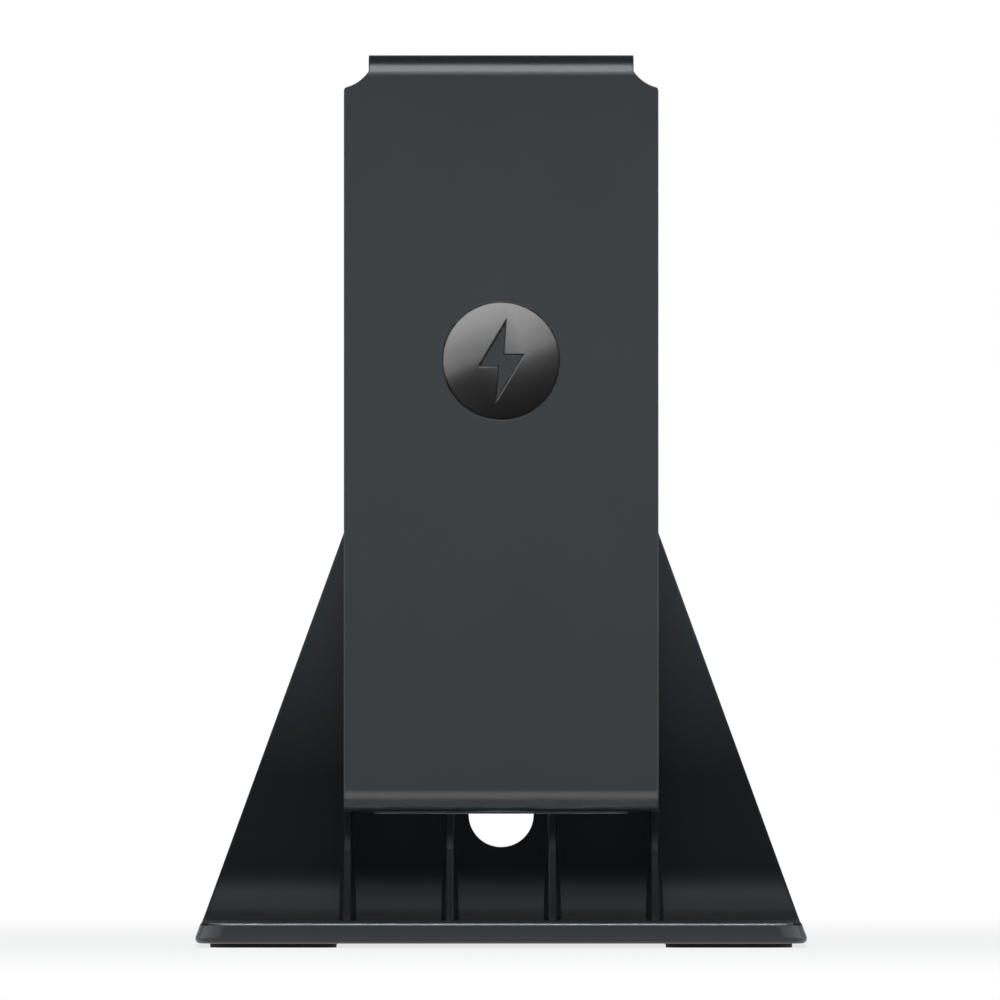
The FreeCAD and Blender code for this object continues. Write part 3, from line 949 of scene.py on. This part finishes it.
        # the recess faces get the darker recess finish, painted shade; the front lip round gets the glossier
        # lip finish
        body.paint(self.is_painted_shade_face, 1).paint(self.is_lip, 2)
        looks = [finishes.slate, finishes.recess, finishes.lip]
        return body.piece("moulded_stand", "stand_plastic", looks, ["stand"])

    def is_painted_shade_face(self, face: BMFace) -> bool:
        """Test a face for the matt recess, whose darker finish is painted shade: plate top, cove, wall front,
        their rims, and ribs.

        Args:
            face: The face.

        Returns:
            True for a face of the recess.
        """
        centre, facing = face.calc_center_median(), face.normal.y
        inside = centre.y > self.low.y + 2 * self.rim_round and centre.z > self.plate_top - NEAR
        ahead = centre.y < self.wall_front + NEAR and facing < self.BACK_TURN and not self.on_side(centre)
        # the wall's front rims, and the plate's rim at the corners and sides, get the recess finish too:
        # painted shade that keeps them dark
        rim = centre.y < self.wall_front + self.rim_round and facing < self.FRONT_TURN
        side_rim = self.on_plate_rim(face) and facing > -abs(face.normal.x)
        return side_rim or inside and (ahead or rim)

    def on_plate_rim(self, face: BMFace) -> bool:
        """True for a face of the round between the plate's top and its edge."""
        height = face.calc_center_median().z - self.plate_top
        return -self.rim_round - NEAR < height < NEAR and self.RIM_TURN[0] < face.normal.z < self.RIM_TURN[1]

    def is_lip(self, face: BMFace) -> bool:
        """True for a face of that round along the front, and a little way into the corners."""
        return self.on_plate_rim(face) and face.normal.y < -abs(face.normal.x) * self.lip_turn

    def on_side(self, point: Vector) -> bool:
        """True for a point on the sloping sides."""
        half = self.foot_half - (point.z - self.low.z) * math.tan(self.side_slope)
        return abs(point.x) > half - self.rim_round


@dataclass
class RubberFoot:
    """Die-cut pad under a corner of the base."""

    node: str
    edge_round: float = 0.12 * MM

    @staticmethod
    def names() -> List[str]:
        """Names of the four feet."""
        return [f"{end}_{side}_foot" for end in ("front", "rear") for side in ("left", "right")]

    def pad(self, grow: float, floor: float) -> Blank:
        """Make the form of the pad.

        Args:
            grow: Clearance all round.
            floor: Height that the form starts from.

        Returns:
            The pad, up to its own top.
        """
        low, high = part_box(self.node)
        radius = (high.y - low.y) / 2
        y = (low.y + high.y) / 2
        start = floor - self.edge_round if grow else floor
        ends = [Vector((x, y, start)) for x in (low.x + radius, high.x - radius)]
        return Blank.capsule(*ends, Vector((0, 0, high.z - start)), radius + grow)

    def build(self, finishes: Finishes) -> Object:
        """Make the piece.

        Args:
            finishes: All materials.

        Returns:
            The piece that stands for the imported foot.
        """
        low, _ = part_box(self.node)
        pad = self.pad(0.0, low.z)
        pad.round(lambda e: is_sharp(e) and middle(e).z < low.z + NEAR, self.edge_round, 3)
        return pad.piece(f"{self.node}_pad", "foot_rubber", [finishes.rubber], [self.node])


@dataclass
class FrontPanel:
    """Front cover with rolled top and bottom edges and notched top corners."""

    wall: float = 1.6 * MM
    roll: float = 3.2 * MM
    flange: float = 11.0 * MM
    edge_round: float = 0.1 * MM
    channel: float = 3.55 * MM
    notch_drop: float = 4.7 * MM
    notch_rise: float = 2.35 * MM
    notch_radius: float = 5.7 * MM
    shoulder_round: float = 0.5 * MM
    boss_radius: float = 2.5 * MM
    pilot_radius: float = 1.02 * MM
    hook_width: float = 6.0 * MM
    hook_reach: float = 1.5 * MM
    hook_thick: float = 1.0 * MM
    hook_gap: float = 0.05 * MM
    inlay_fit: float = 0.1 * MM

    def __post_init__(self) -> None:
        """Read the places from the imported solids."""
        self.low, self.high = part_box("front_panel")
        self.rear = self.low.y + self.flange
        self.lip = self.high.x - self.channel
        self.shoulder = self.high.z - self.notch_drop

    def sheet(self) -> Blank:
        """Make the C-section with its rolled edges, at full width.

        Returns:
            The sheet.
        """
        x = self.low.x
        y, z0, z1, w = self.low.y, self.low.z, self.high.z, self.wall
        corners = [(self.rear, z0), (y, z0), (y, z1), (self.rear, z1), (self.rear, z1 - w), (y + w, z1 - w),
                   (y + w, z0 + w), (self.rear, z0 + w)]
        across = Vector((2 * self.high.x, 0, 0))
        sheet = Blank.prism([Vector((x, *corner)) for corner in corners], across)
        sheet.round(lambda e: runs_along(e, Axis.X) and middle(e).y < y + NEAR, self.roll, 18)
        return sheet.round(lambda e: runs_along(e, Axis.X) and not e.is_convex, self.roll - w, 8)

    def notch(self) -> Blank:
        """Make the tool that cuts the right top corner.

        Returns:
            The tool: a vertical side that runs into a hollow round.
        """
        deep = Vector((0, 3 * self.flange, 0))
        y = self.low.y - self.flange
        far = self.high.x + self.notch_drop
        above = self.high.z + self.notch_drop
        high_point = Vector((self.lip, y, self.shoulder + self.notch_rise))
        low_point = Vector((self.high.x, y, self.shoulder))
        chord = high_point - low_point
        outward = Vector((chord.z, 0, -chord.x)).normalized()
        rise = math.sqrt(self.notch_radius ** 2 - (chord.length / 2) ** 2)
        centre = (high_point + low_point) / 2 + outward * rise
        space = Blank.rod(centre, deep, self.notch_radius, segments=96)
        inner = Blank.block(Vector((0, 2 * y, 0)), Vector((self.lip, 2 * self.rear, 2 * above)))
        outer = Blank.block(Vector((self.lip, y, high_point.z)), Vector((far, y + deep.y, above)))
        return space.meet(Combine.CUT, inner).meet(Combine.ADD, outer)

    def bosses(self) -> Tuple[List[Blank], List[Blank]]:
        """Make the screw bosses inside the panel.

        Returns:
            The bosses, and the pilot holes to cut in them.
        """
        tip_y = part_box("case_screws")[0].y
        solids, holes = [], []
        for head in case_screw_places():
            foot = Vector((head.x, self.low.y + self.wall / 2, head.z))
            tip = Vector((head.x, tip_y, head.z))
            solids.append(Blank.rod(foot, Vector((0, self.high.y - foot.y, 0)), self.boss_radius))
            holes.append(Blank.rod(tip, Vector((0, self.high.y, 0)), self.pilot_radius))
        return solids, holes

    def hooks(self) -> List[Blank]:
        """Make the tabs on the lower flange that catch behind the rear cover.

        Returns:
            Two blocks for each hook.
        """
        top = self.low.z + self.wall + self.hook_gap + self.hook_thick
        made = []
        for head in case_screw_places():
            left = head.x - self.hook_width / 2
            right = head.x + self.hook_width / 2
            made.append(Blank.block(Vector((left, self.rear - self.hook_reach, self.low.z + self.wall / 2)),
                                    Vector((right, self.rear, top))))
            made.append(Blank.block(Vector((left, self.rear - NEAR, top - self.hook_thick)),
                                    Vector((right, self.rear + self.hook_reach, top))))
        return made

    def build(self, finishes: Finishes, inlay: "Inlay") -> Object:
        """Make the piece.

        Args:
            finishes: All materials.
            inlay: The inlay that the panel holds.

        Returns:
            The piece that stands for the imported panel.
        """
        notch = self.notch()
        panel = self.sheet().meet(Combine.CUT, notch, notch.mirrored())
        panel.round(lambda e: runs_along(e, Axis.Y) and abs(abs(middle(e).x) - self.high.x) < NEAR
                    and abs(middle(e).z - self.shoulder) < NEAR, self.shoulder_round, 5)
        panel.round(self.is_rim, self.edge_round, 3)
        bosses, pilots = self.bosses()
        panel.meet(Combine.ADD, *bosses, *self.hooks())
        panel.meet(Combine.CUT, *pilots, inlay.pocket(self.inlay_fit))
        return panel.piece("rolled_front_panel", "panel_plastic", [finishes.slate], ["front_panel"])

    def is_rim(self, edge: BMEdge) -> bool:
        """True for an outer edge round the skin, apart from the hidden rear one."""
        return is_sharp(edge) and middle(edge).y < self.rear - NEAR and self.is_outside(edge)

    def is_outside(self, edge: BMEdge) -> bool:
        """True for an edge that one face of the outer skin ends at."""
        return sum(self.is_skin(face) for face in edge.link_faces) == 1

    def is_skin(self, face: BMFace) -> bool:
        """True for a face of the outer skin."""
        return abs(face.normal.x) < FLAT and (face.normal.y < -FLAT or self.on_flange(face))

    def on_flange(self, face: BMFace) -> bool:
        """True for the outer face of the top or bottom flange."""
        z = face.calc_center_median().z
        return abs(z - self.low.z) < NEAR or abs(z - self.high.z) < NEAR


@dataclass
class Inlay:
    """Gloss disc with a bolt-shaped window, pressed into the panel."""

    bolt: float = 5.6 * MM
    edge_round: float = 0.12 * MM
    bolt_shrink: float = 0.955
    BOLT = ((0.12, 1.0), (-0.56, -0.14), (-0.06, -0.14), (-0.12, -1.0), (0.56, 0.14), (0.06, 0.14))

    def __post_init__(self) -> None:
        """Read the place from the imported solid."""
        self.low, self.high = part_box("emblem_inlay")
        self.middle = (self.low + self.high) / 2
        self.radius = (self.high.z - self.low.z) / 2

    def window(self, scale: float) -> Blank:
        """Make a bolt through the whole depth.

        Args:
            scale: Share of the bolt's full size.

        Returns:
            The bolt, as a tool to cut with.
        """
        y = self.low.y - self.radius
        size = self.bolt * scale
        outline = [Vector((x * size, y, self.middle.z + z * size)) for x, z in self.BOLT]
        return Blank.prism(outline, Vector((0, 3 * self.radius, 0)))

    def disc(self, grow: float) -> Blank:
        """Disc, grown by a clearance."""
        foot = Vector((0, self.low.y, self.middle.z))
        return Blank.rod(foot, Vector((0, self.high.y - self.low.y, 0)), self.radius + grow, segments=128)

    def pocket(self, fit: float) -> Blank:
        """Space that the disc is pressed into, as a tool to cut with."""
        return self.disc(fit).meet(Combine.CUT, self.window(self.bolt_shrink))

    def build(self, finishes: Finishes) -> Object:
        """Make the piece.

        Args:
            finishes: All materials.

        Returns:
            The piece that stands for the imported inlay.
        """
        disc = self.disc(0.0).meet(Combine.CUT, self.window(1.0))
        disc.round(lambda e: is_sharp(e) and middle(e).y < self.low.y + NEAR, self.edge_round, 3)
        return disc.piece("bolt_inlay", "gloss_black", [finishes.gloss], ["emblem_inlay"])


@dataclass
class RailChannel:
    """Folded steel channel that a controller's rail slides into."""

    node: str
    sheet: float = 0.8 * MM
    bend: float = 0.3 * MM
    mouth: float = 6.2 * MM
    stake_radius: float = 1.05 * MM
    stake_low: float = 36.0 * MM
    stake_high: float = 88.0 * MM
    lead_in: float = 0.15 * MM

    def build(self, finishes: Finishes) -> Object:
        """Make the piece.

        Args:
            finishes: All materials.

        Returns:
            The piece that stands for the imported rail.
        """
        low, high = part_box("right_rail")
        s = self.sheet
        y = (low.y + high.y) / 2
        half = self.mouth / 2
        side = [(high.x, half), (high.x, high.y - y), (low.x, high.y - y)]
        inner = [(low.x + s, high.y - y - s), (high.x - s, high.y - y - s), (high.x - s, half)]
        outline = side + [(x, -d) for x, d in reversed(side)]
        outline += [(x, -d) for x, d in reversed(inner)] + inner
        up = Vector((0, 0, high.z - low.z))
        channel = Blank.prism([Vector((x, y + d, low.z)) for x, d in outline], up)
        bends = [e for e in channel.mesh.edges
                 if runs_along(e, Axis.Z) and abs(middle(e).y - y) > half + s]
        channel.round(lambda e: e in bends and e.is_convex, self.bend + s, 6)
        channel.round(lambda e: runs_along(e, Axis.Z) and not e.is_convex, self.bend, 4)
        channel.round(lambda e: is_sharp(e, 60.0), self.lead_in, 2)
        unit_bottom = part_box("front_panel")[0].z
        window = ContactRow.window(low.x - s, low.x + 2 * s)
        across = Vector((3 * s, 0, 0))
        holes = [Blank.rod(Vector((low.x - s, y, unit_bottom + z)), across, self.stake_radius)
                 for z in (self.stake_low, self.stake_high)]
        channel.meet(Combine.CUT, window, *holes)
        if self.node.startswith("left"):
            channel = channel.mirrored()
        return channel.piece(f"{self.node}_channel", "rail_steel", [finishes.rail], [self.node])


@dataclass
class ContactRow:
    """Four sprung contacts in the web of a rail."""

    side: str
    count: int = 4
    width: float = 1.0 * MM
    sheet: float = 0.3 * MM
    nose: float = 0.85 * MM
    crest: float = 0.35 * MM
    nose_round: float = 0.22 * MM
    flange: float = 0.8 * MM
    gap: float = 0.05 * MM

    @classmethod
    def window(cls, x0: float, x1: float) -> Blank:
        """Make the tool that cuts the opening for the right contact block's nose.

        Args:
            x0: Where the opening starts.
            x1: Where the opening ends.

        Returns:
            The tool.
        """
        low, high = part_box("right_contact_block")
        inset = cls.flange - cls.gap
        return Blank.block(Vector((x0, low.y + inset, low.z + inset)),
                           Vector((x1, high.y - inset, high.z - inset)))

    def build(self, finishes: Finishes) -> Object:
        """Make the piece.

        Args:
            finishes: All materials.

        Returns:
            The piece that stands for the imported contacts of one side.
        """
        low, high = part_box("right_contact_pins")
        y = (low.y + high.y) / 2
        pitch = (high.z - low.z - self.width) / (self.count - 1)
        bend = high.x - self.nose
        back = bend - self.nose
        half = self.sheet / 2
        top = [(low.x, half), (back, half), (bend, self.nose), (high.x, self.crest)]
        outline = top + [(x, -d) for x, d in reversed(top)]
        row = Blank()
        for i in range(self.count):
            strip = Blank.prism([Vector((x, y + d, low.z + i * pitch)) for x, d in outline],
                                Vector((0, 0, self.width)))
            strip.round(lambda e: runs_along(e, Axis.Z) and middle(e).x > back + NEAR, self.nose_round, 4)
            row.take_in(strip)
        if self.side == "left":
            row = row.mirrored()
        return row.piece(f"{self.side}_contact_strips", "contact_gold", [finishes.gold],
                         [f"{self.side}_contact_pins"])


@dataclass
class Screws:
    """A group of like screws along Y, with cross recesses in their heads."""

    node: str
    shape: Drive
    places: List[Vector]
    tip_y: float
    head_radius: float = 1.8 * MM
    head_height: float = 1.2 * MM
    shank_radius: float = 1.0 * MM
    recess_arm: float = 1.05 * MM
    recess_width: float = 0.42 * MM
    recess_depth: float = 0.7 * MM
    edge_round: float = 0.3 * MM

    def screw(self, place: Vector) -> Blank:
        """Make one screw.

        Args:
            place: Middle of the head's face.

        Returns:
            The screw, its head towards +Y.
        """
        under = place - Vector((0, self.head_height, 0))
        up = Vector((0, self.head_height, 0))
        if self.shape is Drive.PAN:
            head = Blank.rod(under, up, self.head_radius)
            head.round(lambda e: is_sharp(e) and middle(e).y > place.y - NEAR, self.edge_round, 4)
        else:
            head = Blank.rod(under, up, self.shank_radius, self.head_radius)
        tip = Vector((place.x, self.tip_y, place.z))
        shank = Blank.rod(tip, Vector((0, under.y - self.tip_y, 0)), self.shank_radius)
        long, wide = self.recess_arm, self.recess_width / 2
        reaches = [Vector((x, self.recess_depth, z)) for x, z in ((long, wide), (wide, long))]
        arms = [Blank.block(place - reach, place + reach) for reach in reaches]
        return head.meet(Combine.ADD, shank).meet(Combine.CUT, *arms)

    def build(self, finishes: Finishes) -> Object:
        """Make the piece.

        Args:
            finishes: All materials.

        Returns:
            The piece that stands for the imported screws.
        """
        group = Blank()
        for place in self.places:
            group.take_in(self.screw(place))
        return group.piece(f"{self.node}_set", "screw_steel", [finishes.screw], [self.node])


@dataclass
class PowerInlet:
    """Drawn metal shell of the power socket and the tongue inside it."""

    sheet: float = 0.3 * MM
    lip_round: float = 0.1 * MM
    strip_count: int = 10
    strip_share: float = 0.5
    strip_proud: float = 0.03 * MM

    def oval(self, low: Vector, high: Vector, inset: float, y0: float, y1: float) -> Blank:
        """Make an upright bar with round ends inside a box.

        Args:
            low: Lowest corner of the box.
            high: Highest corner of the box.
            inset: Distance inside the box.
            y0: Where the bar starts.
            y1: Where the bar ends.

        Returns:
            The bar.
        """
        radius = (high.x - low.x) / 2
        ends = [Vector((0, y0, z)) for z in (low.z + radius, high.z - radius)]
        return Blank.capsule(*ends, Vector((0, y1 - y0, 0)), radius - inset)

    def shell(self, finishes: Finishes) -> Object:
        """Make the metal shell, closed at the board.

        Args:
            finishes: All materials.

        Returns:
            The piece.
        """
        low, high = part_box("power_socket")
        shell = self.oval(low, high, 0.0, low.y, high.y)
        inside = self.oval(low, high, self.sheet, low.y + self.sheet, high.y + self.sheet)
        shell.meet(Combine.CUT, inside)
        shell.round(lambda e: is_sharp(e) and middle(e).y > high.y - NEAR, self.lip_round, 3)
        return shell.piece("inlet_shell", "socket_steel", [finishes.socket], ["power_socket"])

    def tongue(self, finishes: Finishes) -> Object:
        """Make the tongue with its rows of contact strips.

        Args:
            finishes: All materials.

        Returns:
            The piece.
        """
        low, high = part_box("socket_tongue")
        thick = high.x - low.x
        tongue = Blank.block(low, high)
        tongue.round(lambda e: runs_along(e, Axis.Z) and middle(e).y > high.y - NEAR, thick / 4, 3)
        pitch = (high.z - low.z) / (self.strip_count + 1)
        width = pitch * self.strip_share
        end = high.y - thick / 2
        for i in range(self.strip_count):
            z = low.z + (i + 1) * pitch
            strip = Blank.block(Vector((low.x - self.strip_proud, low.y, z - width / 2)),
                                Vector((high.x + self.strip_proud, end, z + width / 2)))
            tongue.take_in(strip.paint(lambda face: True, 1))
        looks = [finishes.black, finishes.gold]
        return tongue.piece("inlet_tongue", "black_plastic", looks, ["socket_tongue"])


class HiddenPieces:
    """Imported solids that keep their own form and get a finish."""

    def __init__(self, finishes: Finishes) -> None:
        """Pair each solid with its finish."""
        self.dress = {
            "rear_cover": finishes.slate, "right_contact_block": finishes.black,
            "left_contact_block": finishes.black, "circuit_board": finishes.laminate,
            "charge_chip": finishes.resin, "charge_coil": finishes.powder,
            "capacitors": finishes.ceramic, "board_screws": finishes.screw,
        }

    def build(self) -> None:
        """Put the finishes on."""
        for node, finish in self.dress.items():
            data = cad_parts[node].data
            data.materials.clear()
            data.materials.append(finish)
            LOG.info("%s: finish %s", node, finish.name)


@dataclass(frozen=True)
class SoftBox:
    """A flat soft lamp, which may light chosen pieces alone and shine past others."""

    name: str
    place: Tuple[float, float, float]
    target: Tuple[float, float, float]
    size: Tuple[float, float]
    radiance: float
    only: Tuple[Object, ...] = ()
    blocked_by: Tuple[Object, ...] = ()
    turn: float = 0.0
    tint: Colour = (1.0, 1.0, 1.0)

    def build(self) -> Object:
        """Hang the lamp.

        Returns:
            The lamp.
        """
        lamp = bpy.data.lights.new(self.name, "AREA")
        lamp.shape = "RECTANGLE"
        lamp.size, lamp.size_y = self.size
        lamp.energy = self.radiance * math.pi * self.size[0] * self.size[1]
        lamp.color = self.tint
        made = put_in_scene(self.name, lamp)
        made.location = self.place
        aim = Vector(self.target) - Vector(self.place)
        made.rotation_euler = (aim.to_track_quat("-Z", "Y") @ Quaternion((0, 0, 1), self.turn)).to_euler()
        made.visible_camera = False
        if self.only:
            made.light_linking.receiver_collection = self.group("lights", self.only)
        if self.blocked_by:
            lamp.cycles.use_multiple_importance_sampling = False
            made.light_linking.blocker_collection = self.group("blocked_by", self.blocked_by)
        return made

    def group(self, role: str, members: Sequence[Object]) -> Collection:
        """Collect objects for one part in the lamp's linking.

        Args:
            role: What the objects do for the lamp.
            members: The objects.

        Returns:
            The collection.
        """
        made = bpy.data.collections.new(f"{self.name}_{role}")
        for member in members:
            made.objects.link(member)
        return made


@dataclass
class Studio:
    """Floor, backdrop, lamps and camera."""

    stand: Object
    panel: Object
    inlay: Object
    frame_width: float = 143.0 * MM
    frame_middle: Tuple[float, float] = (-0.165 * MM, 63.65 * MM)
    lens: float = 1500.0
    sensor: float = 36.0
    floor_half: float = 1.5
    floor_back: float = 0.6
    floor_white: float = 0.75
    floor_fade: Tuple[float, float] = (0.12, 0.40)
    backdrop_y: float = 9.0
    backdrop_half: float = 0.6
    wall_end: float = 0.22
    ceiling_start: float = 0.62
    front_light: float = 0.03
    back_light: float = 0.56
    ceiling_light: float = 0.05
    gloss_tilt: float = math.radians(16.0)
    PAPER = (0.86, 0.86, 0.855, 1.0)
    WHITE = (1.0, 1.0, 1.0, 1.0)
    COOL = (0.92, 0.96, 1.0)
    CLIP_END = 60.0

    def pale(self, name: str, lit_share: float) -> Material:
        """Pale paper, white to the eye and in reflections, that still takes a shadow.

        Args:
            name: Name of the material.
            lit_share: Share of the seen colour that comes from the lamps.

        Returns:
            The material.
        """
        made = bpy.data.materials.new(name)
        board = NodeBoard.on(made)
        path = board.node("ShaderNodeLightPath").outputs
        seen = board.math("MAXIMUM", path["Is Camera Ray"],
                          board.math("MAXIMUM", path["Is Glossy Ray"], path["Is Transmission Ray"]))
        paper = board.node("ShaderNodeBsdfDiffuse", Color=self.PAPER)
        white = board.node("ShaderNodeEmission", Color=self.WHITE, Strength=1.0)
        away = board.node("ShaderNodeVectorMath", {"operation": "LENGTH"},
                          Vector=board.node("ShaderNodeTexCoord").outputs["Object"])
        glow = board.spread(away.outputs["Value"], *self.floor_fade, 1.0 - lit_share, 1.0)
        mixed = board.blend(board.math("MULTIPLY", seen, glow), paper, white)
        behind = board.node("ShaderNodeNewGeometry").outputs["Backfacing"]
        clear = board.node("ShaderNodeBsdfTransparent")
        board.node("ShaderNodeOutputMaterial", Surface=board.blend(behind, mixed, clear).outputs[0])
        return made

    def sheet(self, name: str, corners: Sequence[Vector], finish: Material) -> Object:
        """Lay one flat sheet of the set.

        Args:
            name: Name of the sheet.
            corners: Its corners, in order.
            finish: Its material.

        Returns:
            The sheet.
        """
        blank = Blank()
        blank.mesh.faces.new([blank.mesh.verts.new(corner) for corner in corners])
        data = blank.as_mesh(name)
        data.materials.append(finish)
        made = put_in_scene(name, data)
        return made

    def floor_and_backdrop(self) -> Object:
        """Lay the pale floor and hang the far white backdrop.

        Returns:
            The backdrop.
        """
        w, b = self.floor_half, self.floor_back
        floor = [Vector((x, y, 0)) for x, y in ((-w, -w), (w, -w), (w, b), (-w, b))]
        self.sheet("studio_floor", floor, self.pale("floor_paper", 1.0 - self.floor_white))
        h = self.backdrop_half
        wall = [Vector((x, self.backdrop_y, z)) for x, z in ((-h, -h), (h, -h), (h, h), (-h, h))]
        return self.sheet("studio_backdrop", wall, self.pale("backdrop_paper", 0.0))

    def lamps(self, *far: Object) -> None:
        """Hang the soft lamps.

        Args:
            far: What alone blocks the lamps that shine past the object.
        """
        top_roll, bottom_roll = (0.0, 0.014, 0.125), (0.0, 0.01, 0.02)
        below, plate = (0.0, -0.10, -0.5), (0.0, -0.10, 0.0)
        panel, cover = (self.panel,), (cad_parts["rear_cover"],)
        boxes = [
            SoftBox("front_top_softbox", (0.0, -0.69, 0.88), top_roll, (0.45, 0.75), 7.8, tint=self.COOL),
            SoftBox("softbox_skirt", (0.0, -0.886, 0.565), top_roll, (0.75, 0.28), 2.2, panel),
            SoftBox("left_wall", (-0.8, -1.15, 0.18), (0.0, -1.15, 0.18), (2.9, 0.36), 1.7),
            SoftBox("right_wall", (0.8, -1.15, 0.18), (0.0, -1.15, 0.18), (2.9, 0.36), 1.7),
            SoftBox("rear_fill", (0.0, 1.5, 0.45), (0.0, 0.0, 0.06), (1.6, 0.5), 1.4),
            SoftBox("cove_lamp", (0.0, -0.16, 0.5), (0.0, -0.16, 0.0), (0.55, 0.63), 4.0, (self.stand,), far),
            SoftBox("roll_bounce", (0.0, -0.63, -0.42), bottom_roll, (0.45, 0.45), 2.4, panel, far),
            SoftBox("floor_bounce", below, plate, (0.5, 0.6), 0.8, panel, far),
            SoftBox("cover_bounce", below, plate, (0.5, 0.6), 5.0, cover, far),
            SoftBox("panel_card", (0.0, -0.15, 0.090), (0.0, 0.0, 0.090), (0.4, 0.05), 0.32, panel),
            self.gloss_card("near_gloss_card", 0.30, 1.0 * MM, (0.12, 0.05), 14.0),
            self.gloss_card("far_gloss_card", 1.60, 11.0 * MM, (0.40, 0.20), 34.0),
        ]
        for lamp in boxes:
            lamp.build()

    def gloss_card(self, name: str, away: float, lift: float, size: Tuple[float, float],
                   radiance: float) -> SoftBox:
        """Plan a card that the gloss inlay mirrors above a slanted line.

        Args:
            name: Name of the lamp.
            away: Distance in front of the inlay.
            lift: Height of the card's lower edge over the middle of the inlay.
            size: Width and height.
            radiance: Light of the card.

        Returns:
            The lamp, not yet hung.
        """
        rise = Vector((-math.sin(self.gloss_tilt), 0.0, math.cos(self.gloss_tilt)))
        target = mid_point("emblem_inlay") + rise * (lift + size[1] / 2)
        place = target - Vector((0.0, away, 0.0))
        return SoftBox(name, tuple(place), tuple(target), size, radiance, (self.inlay,), turn=self.gloss_tilt)

    def room(self) -> None:
        """Light the room: bright walls round the horizon under a dark ceiling."""
        world = bpy.data.worlds.new("room")
        board = NodeBoard.on(world)
        direction = board.node("ShaderNodeTexCoord").outputs["Generated"]
        split = board.node("ShaderNodeSeparateXYZ", Vector=direction).outputs
        walls = board.spread(split["Y"], -1.0, 0.0, self.front_light, self.back_light)
        level = board.spread(split["Z"], self.wall_end, self.ceiling_start, walls, self.ceiling_light)
        light = board.node("ShaderNodeBackground", Color=self.WHITE, Strength=level)
        board.node("ShaderNodeOutputWorld", Surface=light.outputs[0])
        bpy.context.scene.world = world

    def camera(self) -> None:
        """Set up the camera far in front, level with the middle of the picture."""
        data = bpy.data.cameras.new("front_camera")
        data.lens = self.lens
        data.sensor_width = self.sensor
        data.clip_end = self.CLIP_END
        made = put_in_scene("front_camera", data)
        x, z = self.frame_middle
        away = self.frame_width * self.lens / self.sensor
        made.location = (x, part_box("front_panel")[0].y - away, z)
        made.rotation_euler = (math.radians(90.0), 0.0, 0.0)
        bpy.context.scene.camera = made

    def build(self) -> None:
        """Set up the whole studio."""
        self.lamps(self.floor_and_backdrop())
        self.room()
        self.camera()
        bpy.context.scene.view_settings.view_transform = "Standard"


def main() -> None:
    """Build every piece in order, then the studio."""
    logging.basicConfig(level=logging.INFO, format="%(name)s: %(message)s")
    finishes = Finishes()
    stand = MouldedStand()
    stand_piece = stand.build(finishes)
    for name in RubberFoot.names():
        RubberFoot(name).build(finishes)
    inlay = Inlay()
    panel_piece = FrontPanel().build(finishes, inlay)
    inlay_piece = inlay.build(finishes)
    for side in ("right", "left"):
        RailChannel(f"{side}_rail").build(finishes)
        ContactRow(side).build(finishes)
    for node, shape, places in (("stand_screws", Drive.PAN, stand.screw_places()),
                                ("case_screws", Drive.COUNTERSUNK, case_screw_places())):
        Screws(node, shape, places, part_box(node)[0].y).build(finishes)
    inlet = PowerInlet()
    inlet.shell(finishes)
    inlet.tongue(finishes)
    HiddenPieces(finishes).build()
    Studio(stand_piece, panel_piece, inlay_piece).build()


if __name__ == "__main__":
    main()
